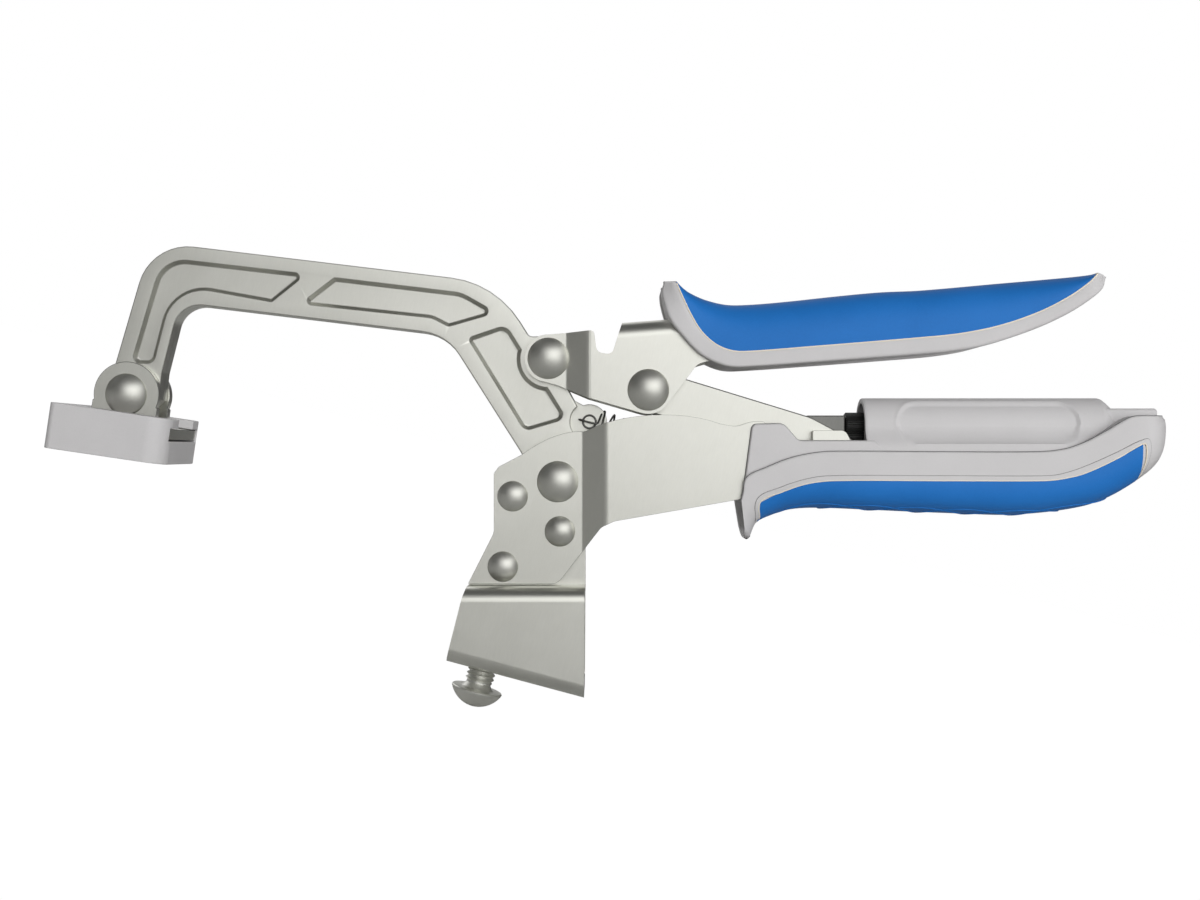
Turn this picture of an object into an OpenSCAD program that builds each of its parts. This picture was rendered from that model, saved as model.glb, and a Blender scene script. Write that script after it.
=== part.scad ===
// Self-adjusting bench clamp: a folded steel base that bolts over a bench slot, a forged C-arm with a
// swivel pad, and locking-plier handles with moulded grips. Millimetres; +Z up from the bench, +X to the handles.
// The clamp leans back by the rake angle, so its own parts are drawn level and then tilted on the base.

/* [Frame] */
// Lean of the clamp on its level base, degrees
rake = 15; // [0:1:25]

/* [Pivots, in the clamp's own level plane] */
// Arm pivot on the body
pivot_a = [11.4, 53.9]; // [0:0.1:100]
// Arm pivot on the upper handle
pivot_b = [8.8, 87.9]; // [0:0.1:120]
// Upper handle pivot on the link
pivot_c = [36.3, 79.1]; // [0:0.1:120]
// Link tail pin on its track in the lower handle
pivot_d = [88.9, 63.0]; // [0:0.1:140]
// Pad pivot on the arm
pivot_p = [-107.5, 78]; // [-150:0.1:120]
// Fixed rivets that hold the body plates on the base
fixed_rivets = [[-1, 49.9], [12, 40.2], [-3.7, 30.5]]; // [-20:0.1:80]
// Spring lug on the arm
lug_at = [20.1, 70.5]; // [0:0.1:100]
// Spring anchor in the body
anchor_at = [50, 58.4]; // [0:0.1:100]

/* [Base] */
// Length of the base along the bench
base_len = 38.7; // [25:0.1:60]
// Width of the base across the bench slot
base_w = 28; // [20:0.5:50]
// Sheet thickness of the base and body plates
sheet_t = 2.5; // [1.5:0.1:4]
// Height of the shelf above the level plane's origin
shelf_top = 25.3; // [15:0.1:40]
// Outside bend radius of the base
bend_r = 4; // [2.5:0.1:6]
// Bolt axis, measured from the middle of the base
bolt_x = -9.9; // [-20:0.1:20]

/* [Base bolt] */
// Thread size
bolt_d = 8; // [5:0.5:12]
// Thread pitch
bolt_pitch = 1.25; // [0.8:0.05:2]
// Room under the base for the bench plate
bolt_gap = 6.8; // [3:0.1:15]
// Head diameter
bolt_head_d = 14.3; // [10:0.1:25]
// Dome height of the head
bolt_head_h = 5.1; // [3:0.1:10]

/* [Arm] */
// Arm thickness
arm_t = 8; // [5:0.5:12]
// Depth of the arm's pockets
pocket_depth = 1.3; // [0:0.1:2.5]
// Width of the sloped pocket wall
pocket_slope = 0.9; // [0.3:0.1:2]
// Radius of the arm round its body pivot
hub_r = 9.1; // [7:0.1:12]

/* [Rivets] */
// Head radius of the pivot rivets
pivot_head_r = 5.7; // [4:0.1:8]
// Head height of the pivot rivets
pivot_head_h = 2.9; // [1:0.1:5]
// Shank radius of the pivot rivets
pivot_shank_r = 3; // [2:0.1:4]
// Head radius of the fixed rivets
fixed_head_r = 4.2; // [3:0.1:6]
// Head height of the fixed rivets
fixed_head_h = 2.2; // [1:0.1:4]
// Shank radius of the fixed rivets
fixed_shank_r = 2.5; // [1.5:0.1:3]

/* [Handles] */
// Half width inside the wide part of both handles
wide_in = 7; // [5:0.1:10]
// Half width of the moulded grips
grip_half_w = 12.2; // [10:0.1:16]
// Radius of the adjuster housing
tube_r = 7.9; // [6:0.1:10]
// Height of the adjuster axis
screw_z = 69.2; // [60:0.1:80]
// Knurled knob radius
knob_r = 3.9; // [3:0.1:4.2]
// Adjusting screw radius
screw_r = 2.5; // [1.5:0.1:3]

/* [Pad] */
// Pad length
pad_len = 32.4; // [20:0.1:50]
// Pad width
pad_w = 36; // [20:0.5:60]
// Pad height
pad_h = 12.4; // [8:0.1:20]
// Tilt of the pad as it hangs
pad_tilt = 8.4; // [-20:0.1:20]

/* [Hidden] */
$fn = 64;
fit = 0.15;
run = 0.05;
narrow_in = arm_t / 2 + fit;
narrow_out = narrow_in + sheet_t;
wide_out = wide_in + sheet_t;
web_in = narrow_in - sheet_t;
link_out = wide_in - 0.2;
link_t = 2;
link_in = link_out - link_t;
// Adjuster, counted from the tail pin: the pressure block's end, the knob, the screw behind it, the housing
block_end = pivot_d[0] + 2;
knob_x = pivot_d[0] + 3.4;
knob_len = 5.1;
screw_x = knob_x + knob_len;
tube_x = knob_x + 3.3;
cave_x = pivot_d[0] + 8.9;
housing_bore_r = knob_r + 0.7;
tube_mouth_r = tube_r - 1.5;
tube_mouth_depth = 6.3;
steel = [0.75, 0.75, 0.71];
bright = [0.82, 0.82, 0.78];
grey = [0.72, 0.71, 0.71];
blue = [0.13, 0.38, 0.72];
black = [0.06, 0.06, 0.06];

// Corner rounding: each point is [x, z, radius], and each radius becomes short chords
function unit(v) = v / norm(v);
function corner(a, b, c, r) =
  let(u = unit([a[0] - b[0], a[1] - b[1]]), w = unit([c[0] - b[0], c[1] - b[1]]),
      half = acos(max(-1, min(1, u * w))) / 2, turn = 180 - 2 * half)
  r <= 0 || turn < 1 ? [[b[0], b[1]]] :
  let(mid = [b[0], b[1]] + unit(u + w) * r / sin(half),
      from = [b[0], b[1]] + u * r / tan(half) - mid, to = [b[0], b[1]] + w * r / tan(half) - mid,
      side = from[0] * to[1] - from[1] * to[0] > 0 ? 1 : -1, n = max(1, ceil(turn / 9)))
  [for (i = [0:n]) let(t = side * turn * i / n)
    mid + [from[0] * cos(t) - from[1] * sin(t), from[0] * sin(t) + from[1] * cos(t)]];
function rounded(p) = let(n = len(p))
  [for (i = [0:n - 1]) let(r = len(p[i]) > 2 ? p[i][2] : 0)
    for (q = corner(p[(i + n - 1) % n], p[i], p[(i + 1) % n], r)) q];
function arc(c, r, from, to) = let(n = ceil(abs(to - from) / 9))
  [for (i = [0:n]) let(t = from + (to - from) * i / n) [c[0] + r * cos(t), c[1] + r * sin(t)]];
function bezier(a, b, c, d, n = 8) = [for (i = [0:n]) let(t = i / n, s = 1 - t)
  s * s * s * a + 3 * s * s * t * b + 3 * s * t * t * c + t * t * t * d];

// Level clamp plane to the row's frame
module tilted() { rotate([0, -rake, 0]) children(); }
// A side outline drawn in x and z, thickened from y0 to y1
module side(y0, y1) { translate([0, y1, 0]) rotate([90, 0, 0]) linear_extrude(y1 - y0) children(); }
// A cross section drawn in y and z, drawn out from x0 to x1
module along(x0, x1) { translate([x0, 0, 0]) rotate([90, 0, 90]) linear_extrude(x1 - x0) children(); }
// A round bar across the clamp at a side-view point
module across(p, r, y0, y1) { translate([p[0], y1, p[1]]) rotate([90, 0, 0]) cylinder(h = y1 - y0, r = r); }
// Domed head that stands out from y towards the near side (s = -1) or the far side (s = 1)
module dome(p, y, s, r, h) {
  ball = (r * r + h * h) / (2 * h);
  translate([p[0], y, p[1]]) rotate([-90 * s, 0, 0]) intersection() {
    translate([0, 0, h - ball]) sphere(r = ball);
    cylinder(h = h + 1, r = r + 1);
  }
}
module rivet(p, y, shank, r, h) {
  across(p, shank, -y, y);
  dome(p, y, 1, r, h);
  dome(p, -y, -1, r, h);
}
// Folded sheet seen from above: narrow as far as j0, then set out to the wide gap at j1
module joggled_sheet(s, x0, j0, j1, x1) {
  k = sheet_t * tan(atan2(wide_in - narrow_in, j1 - j0) / 2);
  scale([1, s, 1]) translate([0, 0, -10]) linear_extrude(140) polygon(rounded([
    [x0, narrow_in], [j0, narrow_in, 3.5], [j1, wide_in, 1.5], [x1, wide_in],
    [x1, wide_out], [j1 - k, wide_out, 4], [j0 - k, narrow_out, 1.5], [x0, narrow_out]]));
}

// Base: one folded strip whose two webs stand in the middle and whose floor closes the box
module base_envelope(inset) {
  intersection() {
    along(-60, 60) polygon(rounded([
      [-base_w / 2 + inset, -60], [base_w / 2 - inset, -60],
      [base_w / 2 - inset, shelf_top - inset, bend_r - inset],
      [-base_w / 2 + inset, shelf_top - inset, bend_r - inset]]));
    rotate([0, rake, 0]) along(-60, 60) polygon(rounded([
      [-base_w / 2 + inset, 80], [base_w / 2 - inset, 80],
      [base_w / 2 - inset, inset, bend_r - inset],
      [-base_w / 2 + inset, inset, bend_r - inset]]));
  }
}
module base_outline() {
  half = base_len / 2;
  polygon(rounded([
    [-half * cos(rake) - 0.1, half * sin(rake) + 0.2], [half * cos(rake), -half * sin(rake) - 0.1],
    [half * cos(rake) + 0.2, shelf_top + 1], [-13, shelf_top + 1], [-14.4, 22.5, 3]]));
}
module web_outline() {
  difference() {
    polygon(rounded([[-13.3, 23], [-13.2, 26], [-6.7, 38.8, 2], [-6.3, 40.5], [-6.2, 55, 2], [-3.8, 57, 1.5],
      [4, 57], [4, 44], [18, 44, 2], [19, 41, 2], [19, 23]]));
    translate(pivot_a) circle(r = hub_r + 0.7);
    for (p = fixed_rivets) translate(p) circle(r = fixed_shank_r);
  }
}
module base_bracket() color(steel) tilted() difference() {
  union() {
    intersection() {
      side(-20, 20) base_outline();
      difference() {
        base_envelope(0);
        base_envelope(sheet_t);
        along(-60, 60) translate([-web_in, 15]) square([2 * web_in, 20]);
      }
    }
    for (s = [-1, 1]) scale([1, s, 1]) side(web_in, narrow_in) web_outline();
  }
  rotate([0, rake, 0]) translate([bolt_x, 0, -5]) cylinder(h = 12, r = bolt_d / 2 + 0.3);
}
module web_spacer() color(steel) tilted() side(-web_in, web_in) difference() {
  polygon(rounded([[-7, 27, 3], [-0.5, 27, 3], [16, 37, 3], [16, 42, 3], [8, 42.6, 2], [1.4, 47, 2],
    [1.4, 53.5, 2], [-4.6, 53.5, 3], [-4.6, 38, 3]]));
  translate(pivot_a) circle(r = hub_r + 0.7);
  for (p = fixed_rivets) translate(p) circle(r = fixed_shank_r);
}
// Base bolt: the head hangs below the floor so that the base can be slid into a bench slot
module base_bolt() color(steel) {
  neck = 1.6;
  translate([bolt_x, 0, -bolt_gap - 0.01]) cylinder(h = bolt_gap + 12, r = bolt_d / 2 - 0.62);
  for (k = [0:11]) translate([bolt_x, 0, -bolt_gap + neck + 0.2 + k * bolt_pitch]) {
    cylinder(h = bolt_pitch / 2, r1 = bolt_d / 2 - 0.65, r2 = bolt_d / 2);
    translate([0, 0, bolt_pitch / 2]) cylinder(h = bolt_pitch / 2, r1 = bolt_d / 2, r2 = bolt_d / 2 - 0.65);
  }
  translate([bolt_x, 0, -bolt_gap]) cylinder(h = neck, r1 = bolt_d / 2 + 0.6, r2 = bolt_d / 2 - 0.6);
  ball = (pow(bolt_head_d / 2, 2) + pow(bolt_head_h, 2)) / (2 * bolt_head_h);
  intersection() {
    translate([bolt_x, 0, -bolt_gap - bolt_head_h + ball]) sphere(r = ball);
    translate([bolt_x, 0, -bolt_gap - bolt_head_h - 1])
      cylinder(h = bolt_head_h + 1, r = bolt_head_d / 2 + 1);
  }
}
module base_nut() color(steel) difference() {
  translate([bolt_x, 0, sheet_t]) cylinder(h = 6.5, r = 13 / 2 / cos(30), $fn = 6);
  translate([bolt_x, 0, sheet_t - 1]) cylinder(h = 9, r = bolt_d / 2);
}
module fixed_rivets_set() color(bright) tilted()
  for (p = fixed_rivets) rivet(p, narrow_out, fixed_shank_r, fixed_head_r, fixed_head_h);

// Body plates: side outline of the whole plate, from the base to the far end of the lower grip
module body_outline() {
  difference() {
    polygon(concat(
      rounded([[-4.9, 58], [-6.2, 56.2, 1], [-6.2, 39.8, 2], [-13.3, 25.8], [10.6, 25.8, 0.5], [12.2, 26.8, 1],
        [20.4, 37.4], [23.4, 41.4, 3], [27, 43.1, 3], [67.5, 50.2, 3], [162, 51.2, 4], [162, 60.5, 3],
        for (q = tail_lug) q,
        [69.5, 64.5, 1], [68.5, 70.5, 1.5], [66.6, 70.5]]),
      bezier([66.5, 70.5], [62.5, 70.6], [62, 68.7], [58.6, 69.3]),
      bezier([56, 69.8], [45, 74], [28, 72.6], [19.3, 67.9], 12),
      bezier([18.7, 67.7], [14, 68.1], [8, 66.2], [1.6, 61.4])));
    translate(pivot_a) circle(r = pivot_shank_r);
    for (p = fixed_rivets) translate(p) circle(r = fixed_shank_r);
    tail_slot();
  }
}
// Lug that stands up round the tail pin's track
tail_lug_shape = [[10.1, -2, 2], [7.1, -1.5, 3], [2.9, -1.1, 0], [2.5, 2.8, 0], [1.3, 5, 2], [-7.6, 5, 0.5],
  [-7.6, 1.5, 0.5]];
tail_lug = [for (q = tail_lug_shape) [pivot_d[0] + q[0], pivot_d[1] + q[1], q[2]]];
// Track of the link's tail pin
module tail_slot() {
  r = 1.75 + 0.12;
  hull() {
    translate([pivot_d[0] - 0.1, pivot_d[1]]) circle(r = r);
    translate([pivot_d[0] + 3.3, pivot_d[1]]) circle(r = r);
  }
}
module body_plate(s) color(bright) tilted() intersection() {
  joggled_sheet(s, -20, 18.8, 25.2, 170);
  side(-12, 12) body_outline();
}
module body_plate_near() body_plate(-1);
module body_plate_far() body_plate(1);
module pivot_rivet(p, y) rivet(p, y, pivot_shank_r, pivot_head_r, pivot_head_h);
module arm_pivot_rivet() color(bright) tilted() pivot_rivet(pivot_a, narrow_out);
module spring_anchor() color(steel) tilted() across(anchor_at, 2, -wide_in, wide_in);

// Arm: one forged C with three pockets on each face and a thin lug for the spring
module arm_outline() {
  translate(pivot_a) circle(r = hub_r);
  translate(pivot_b) circle(r = 6.3);
  polygon(rounded([[-113.2, 81.5], [-112.4, 83.2, 5], [-101.5, 120.5, 14], [-5.9, 109, 26],
      [3.4, 94.1, 2], [9, 94], [14.4, 79.2], [18.2, 72], [17.5, 60], [18, 56], [5, 48], [1.4, 61.5, 6],
      [-19.6, 94.6, 14], [-93.6, 103.5, 7.5], [-98.5, 84, 5], [-99.4, 76.5]]));
  hull() {
    translate(pivot_p) circle(r = 7);
    translate([-106, 86]) circle(r = 6);
  }
}
module pocket_1() polygon(rounded([[-107.2, 86.6, 2], [-98.4, 116.1, 8.5], [-58.2, 111.5, 1.4],
  [-68, 103.6, 1.3], [-95.1, 108.5, 11], [-100.7, 86.6, 2.4]]));
module pocket_2() polygon(rounded([[-60.3, 103.1, 1.3], [-50.7, 110.5, 1.5], [-15.4, 106.3, 10],
  [-5.4, 100.7, 1.6], [-19, 96.8, 1.5], [-23.7, 99.2, 6]]));
module pocket_3() difference() {
  polygon(rounded([[-13.8, 93.7, 1.2], [-3, 97.4, 3.2], [2, 89.5, 0.5], [2, 81.5, 0.5], [9.2, 80.5, 0.5],
    [13.9, 71.3, 2.2], [2.1, 67.8, 2.6]]));
  translate(pivot_b) circle(r = 7.9);
}
// One pocket sunk in both faces at half thickness y, in two steps
module pocket_pair(y) {
  for (s = [-1, 1]) scale([1, s, 1]) {
    side(y - pocket_depth / 2, y) children();
    side(y - pocket_depth, y) offset(delta = -pocket_slope / 2) children();
  }
}
module clamp_arm() color(steel) tilted() difference() {
  union() {
    difference() {
      side(-arm_t / 2, arm_t / 2) arm_outline();
      across(lug_at, 5.3, -arm_t, arm_t);
    }
    across(lug_at, 4.9, -1.5, 1.5);
    side(-1.5, 1.5) polygon([[14, 78], [lug_at[0], lug_at[1] + 3], [lug_at[0], lug_at[1] - 3], [14, 62]]);
  }
  pocket_pair(arm_t / 2) pocket_1();
  pocket_pair(arm_t / 2) pocket_2();
  pocket_pair(arm_t / 2) pocket_3();
  across(pivot_a, pivot_shank_r + run, -10, 10);
  across(pivot_b, pivot_shank_r + run, -10, 10);
  across(pivot_p, pivot_shank_r + run, -10, 10);
  across(lug_at, 1.9, -10, 10);
}

// Upper handle: a channel with its web on top, narrow at the arm and wide at the link
web_rise = 4.3;
module handle_outline() {
  difference() {
    polygon(concat(
      arc(pivot_b, 6.6, 252, 96),
      rounded([[9, 94.5], [21.4, 95.5, 1.2], [22.2, 89.4, 1.9], [26.3, 88.8, 1.7], [29.2, 97.8, 0.5],
        [125, 105.1, 2], [125, 95, 3], [108, 91.2], [60, 89], [49.8, 86.2, 3], [42, 75.8]]),
      arc(pivot_c, 6.6, 325, 250),
      rounded([[33.6, 73], [19.8, 77], [11, 80.6, 8], [7.2, 81.6]])));
    translate(pivot_b) circle(r = pivot_shank_r);
    translate(pivot_c) circle(r = pivot_shank_r);
  }
}
// The space between two plan lines that step out from half width h0 to h1
module joggled_space(h0, h1, j0, j1, r0, r1, x1) {
  translate([0, 0, 60]) linear_extrude(60) polygon(rounded([[0, -h0], [j0, -h0, r0], [j1, -h1, r1], [x1, -h1],
    [x1, h1], [j1, h1, r1], [j0, h0, r0], [0, h0]]));
}
// Channel section under the sloping web, open below; ahead of it the cheeks stand free
module web_section(half, depth, r, ahead) {
  translate([29.2, 0, 97.8]) rotate([0, -web_rise, 0]) along(-3, 110)
    polygon(rounded([[-half, -45], [half, -45], [half, -depth, r], [-half, -depth, r]]));
  translate([-10, -20, 50]) cube([10 + ahead, 40, 70]);
}
module handle_sheet() difference() {
  intersection() {
    side(-12, 12) handle_outline();
    joggled_space(narrow_out, wide_out, 13.9, 19.7, 1.5, 4, 140);
    web_section(wide_out, 0, 4.5, 27.5);
  }
  intersection() {
    joggled_space(narrow_in, wide_in, 14.4, 20.2, 3.5, 1.5, 141);
    web_section(wide_in, sheet_t, 2, 27.9);
  }
}
module handle_channel() color(bright) tilted() handle_sheet();
module handle_pivot_rivet() color(bright) tilted() pivot_rivet(pivot_b, narrow_out);
module link_pivot_rivet() color(bright) tilted() pivot_rivet(pivot_c, wide_out);

// A solid skinned over rings of points, each ring at its own place along the clamp
module lofted(rings) {
  n = len(rings[0]);
  last = len(rings) - 1;
  polyhedron(points = [for (r = rings) for (q = r) q], faces = concat(
    [[for (k = [0:n - 1]) k], [for (k = [n - 1:-1:0]) last * n + k]],
    [for (i = [0:n:(last - 1) * n]) for (k = [0:n - 1]) let(j = (k + 1) % n) [i + k, i + n + k, i + n + j]],
    [for (i = [0:n:(last - 1) * n]) for (k = [0:n - 1]) let(j = (k + 1) % n) [i + k, i + n + j, i + j]]));
}
function back(line) = [for (i = [len(line) - 1:-1:0]) line[i]];
function signed_power(v, e) = sign(v) * pow(abs(v), e);
// Half width of a grip in plan: its ends are rounded by end_r between x0 and x1
end_r = 5;
function plan_half(x, x0, x1) = let(d = min(end_r, x - x0, x1 - x))
  grip_half_w - end_r + sqrt(end_r * end_r - pow(end_r - d, 2));
function stations(x0, x1, count) = concat(
  [for (a = [20:20:60]) x0 + end_r * (1 - cos(a))],
  [for (k = [0:count]) x0 + end_r + (x1 - x0 - 2 * end_r) * k / count],
  [for (a = [60:-20:20]) x1 - end_r * (1 - cos(a))]);

// Upper grip: a boat-shaped grey rim with a blue crown that bows across the handle
upper_span = [39.6, 161.8];
upper_rim_line = concat([[53.6, 86.6]], bezier([57, 85.2], [70, 85.4], [95, 87.6], [112, 88.8]),
  bezier([115, 89], [132, 91], [151, 98.6], [161.6, 109.4]));
upper_bottom_line = concat(back(bezier([51.6, 87.6], [44, 94.2], [40, 101.4], [40, 107])), upper_rim_line);
upper_top_line = concat([[40.4, 108.4], [43.2, 109]],
  bezier([44.6, 108.7], [48, 106], [51.4, 103.6], [56, 103], 5),
  bezier([58.6, 103], [66, 102.9], [84, 104.8], [101, 106.8]),
  bezier([104, 107], [120, 107.6], [140, 109.4], [157, 111]), [[159.4, 111.2], [160.4, 110.8]]);
upper_colour_line = concat(bezier([44, 110], [46.4, 103], [50, 91.4], [58.4, 89.6]),
  bezier([61, 89.5], [72, 90], [95, 92.2], [112, 93.3]),
  bezier([116, 93.7], [130, 95.2], [148, 101], [157, 109.6]));
module upper_inlay_outline() polygon(concat(upper_colour_line, [[159.8, 112.4], [159.8, 130], [44, 130]]));
// One ring of the grip, drawn in by a skin thickness for the core under the blue
function upper_ring(x, skin) =
  let(w = plan_half(x, upper_span[0], upper_span[1]) - skin, low = lookup(x, upper_bottom_line),
      high = max(low + 1, lookup(x, upper_top_line) - skin),
      edge = max(low + 0.6, min(high - 0.3, lookup(x, upper_colour_line) + 0.4 - skin / 2)),
      soft = min(1.2, (edge - low) / 2))
  concat([for (a = [0:15:180]) [x, w * signed_power(cos(a), 0.78), edge + (high - edge) * pow(sin(a), 0.78)]],
    [[x, -w, low + soft], [x, -w + soft, low], [x, w - soft, low], [x, w, low + soft]]);
module upper_body(skin) lofted([for (x = stations(upper_span[0], upper_span[1], 34)) upper_ring(x, skin)]);
module upper_inlay_cut() difference() {
  side(-20, 20) upper_inlay_outline();
  upper_body(1.9);
}
module upper_grip() color(grey) tilted() difference() {
  upper_body(0);
  upper_inlay_cut();
  handle_sheet();
  side(-wide_in + 0.01, wide_in - 0.01) polygon([[38, 70], [62, 70], [62, 92], [54, 97], [38, 97.6]]);
}
module upper_grip_inlay() color(blue) tilted() difference() {
  intersection() {
    upper_body(0);
    upper_inlay_cut();
  }
  handle_sheet();
}

// Link: two plates on a bush, with a tail pin that runs in the body plates' track
module link_outline() {
  d = pivot_d - pivot_c;
  reach = norm(d);
  difference() {
    translate(pivot_c) rotate(atan2(d[1], d[0])) polygon(rounded([[-6, -6, 5.7], [-6, 6, 5.7],
      [reach - 10, 6, 6], [reach + 4.2, 3.2, 2.4], [reach + 4.2, -4, 3.5], [reach - 8, -4.2, 10]]));
    translate(pivot_c) circle(r = pivot_shank_r + run);
    translate(pivot_d) circle(r = 1.75);
  }
}
module link_plate_near() color(bright) tilted() side(-link_out, -link_in) link_outline();
module link_plate_far() color(bright) tilted() side(link_in, link_out) link_outline();
module link_bush() color(steel) tilted() difference() {
  across(pivot_c, 4.5, -link_in, link_in);
  across(pivot_c, pivot_shank_r + run, -10, 10);
}
module link_tail_pin() color(steel) tilted() across(pivot_d, 1.75, -wide_out + 0.1, wide_out - 0.1);

// Lower grip: an apron round the body plates, a swollen palm part and the round adjuster housing
lower_span = [56, 180.8];
palm_r = 9.5;
lower_palm_line = concat(bezier([65.9, 42.8], [72, 46.6], [90, 46.6], [106, 45.6]),
  bezier([109, 45.4], [124, 44.6], [150, 43.6], [166.3, 50.4]));
lower_palm_rear = bezier([167.4, 51], [178, 57.4], [180.4, 62], [180.5, 68.4]);
lower_toe = [[62.4, 37.8], [63.6, 38], [64.4, 40.2]];
lower_bottom_line = concat(lower_toe, lower_palm_line, lower_palm_rear);
seam_line = concat([[167.5, 71.9]], bezier([166, 70.9], [158, 64.6], [150, 62.3], [141, 62.2]),
  bezier([136, 62.2], [100, 62.2], [74, 62.8], [62.2, 55.2]));
// One ring of the palm part: straight sides that turn in to the bottom line
function palm_ring(x, skin) =
  let(w = plan_half(x, lower_span[0], lower_span[1]) - skin, low = lookup(x, lower_bottom_line) + skin)
  concat([[x, w, 85], [x, -w, 85]],
    [for (a = [-90:15:90]) [x, w * signed_power(sin(a), 0.8), low + palm_r * (1 - pow(cos(a), 0.8))]]);
module palm_body(skin) lofted([for (x = stations(lower_span[0], lower_span[1], 40)) palm_ring(x, skin)]);
module palm_outline() polygon(concat([[61.1, 49], [59.6, 48.6], [60.3, 43.6], [61.3, 39.2]], lower_toe,
  [[65.9, 42.8], [67, 30], [182, 30], [182, 60], [180.4, 68.4], [179.9, 71.7], [179.4, 72]], seam_line));
module apron_outline() polygon(rounded([[61.6, 50.2], [62.2, 55.2], [64.5, 69.7, 1.5], [73.2, 69.9, 3],
  [77.2, 65.2, 2], [95.4, 65.2], [96.6, 68], [161, 68], [178.8, 72.8], [178.8, 70], [170, 60], [120, 50]]));
module lower_inlay_outline() polygon(concat(
  [[64.6, 40.6], [64.6, 30], [171.1, 30], [171.1, 54], [171.9, 59.1], [171.8, 64], [170.8, 64]],
  bezier([168, 62.4], [162, 58.2], [154, 54.3], [143.6, 54.2]),
  bezier([138, 54.2], [104, 54.2], [78, 54.6], [67.2, 48.4])));
module lower_solid() {
  intersection() {
    palm_body(0);
    side(-20, 20) palm_outline();
  }
  side(-grip_half_w + 1.4, grip_half_w - 1.4) apron_outline();
  lengthwise(tube_x, tube_r, 161.6 - tube_x);
  translate([161.6, 0, screw_z]) rotate([0, 90, 0]) cylinder(h = 6, r1 = tube_r, r2 = tube_r - 3.2);
  side(-6.5, 6.5) polygon(rounded([[160, 66], [160, 74.1], [179, 74.1, 0.8], [180.2, 66, 1]]));
}
module plate_pockets() for (s = [-1, 1]) intersection() {
  joggled_sheet(s, -20, 18.8, 25.2, 170);
  side(-12, 12) polygon(rounded([[50, 47.2], [67.5, 50.2, 3], [162, 51.2, 4], [162, 60.5, 3],
    tail_lug[0], tail_lug[1], [tube_x - 0.3, 69], [tube_x - 0.3, 80], [50, 80]]));
}
module lower_inlay_cut() difference() {
  side(-20, 20) lower_inlay_outline();
  palm_body(2);
}
module lower_grip() color(grey) tilted() difference() {
  lower_solid();
  lower_inlay_cut();
  plate_pockets();
  side(-wide_in - 0.01, wide_in + 0.01) polygon(rounded([[50, 44], [66, 46], [72, 52, 2], [cave_x, 54, 2],
    [cave_x, screw_z - 1.3], [tube_x - 0.3, screw_z - 1.3], [tube_x - 0.3, 80], [50, 80]]));
  side(-wide_out, wide_out) polygon([[50, 30], [58, 36], [63.2, 43], [66, 49.4], [50, 48]]);
  lengthwise(tube_x - 5.6, housing_bore_r, 66);
  lengthwise(tube_x - 0.3, tube_mouth_r, tube_mouth_depth);
}
module lower_grip_inlay() color(blue) tilted() difference() {
  intersection() {
    palm_body(0);
    side(-20, 20) palm_outline();
    lower_inlay_cut();
  }
  plate_pockets();
}

// Adjuster: a knob on a screw that moves the pressure block over the tail pin
module lengthwise(x0, r, h) { translate([x0, 0, screw_z]) rotate([0, 90, 0]) cylinder(h = h, r = r); }
module screw_housing_nut() color(steel) tilted() difference() {
  lengthwise(tube_x + 8.4, housing_bore_r, 10);
  lengthwise(tube_x, screw_r + run, 60);
}
module adjusting_screw() color(black) tilted() lengthwise(screw_x, screw_r, 50);
module knurled_knob() color(black) tilted() {
  teeth = 36;
  translate([knob_x, 0, screw_z]) rotate([90, 0, 90]) linear_extrude(knob_len)
    polygon([for (k = [0:2 * teeth - 1]) let(r = k % 2 == 0 ? knob_r : knob_r - 0.22, a = 180 * k / teeth)
      [r * cos(a), r * sin(a)]]);
  translate([knob_x - 1.1, 0, screw_z]) rotate([0, 90, 0])
    cylinder(h = 1.1, r1 = knob_r - 1.2, r2 = knob_r - 0.3);
}
module pressure_block() color(steel) tilted() {
  top = max(screw_z + 3, pivot_d[1] + 9.2);
  side(-4.4, 4.4) polygon(rounded([[block_end - 14.9, top - 2, 1], [block_end - 10.3, top, 1], [block_end, top, 0.5],
    [block_end, pivot_d[1] + 2.4, 0.5], [block_end - 10.9, pivot_d[1] + 2.4, 1]]));
}

// Return spring: one wire bent into a hook through the lug, nine turns and an eye round the anchor
module return_spring() color(steel) tilted() {
  wire = 0.35;
  coil_r = 4.1;
  hook_r = 3.0;
  eye_r = 2.5;
  turns = 9;
  from = 4.6;
  d = anchor_at - lug_at;
  span = norm(d);
  pitch = (span - 3.4 - from) / turns;
  path = concat(
    [for (t = [60:30:360]) [hook_r + hook_r * cos(t), hook_r * sin(t), 0]],
    [for (t = [0:30:turns * 360]) [from + pitch * t / 360, -coil_r * sin(t), coil_r * cos(t)]],
    [for (t = [140:-28:-140]) [span + eye_r * cos(t), 0, eye_r * sin(t)]]);
  translate([lug_at[0], 0, lug_at[1]]) rotate([0, -atan2(d[1], d[0]), 0])
    for (k = [1:len(path) - 1]) hull() {
      translate(path[k - 1]) sphere(r = wire, $fn = 8);
      translate(path[k]) sphere(r = wire, $fn = 8);
    }
}

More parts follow.
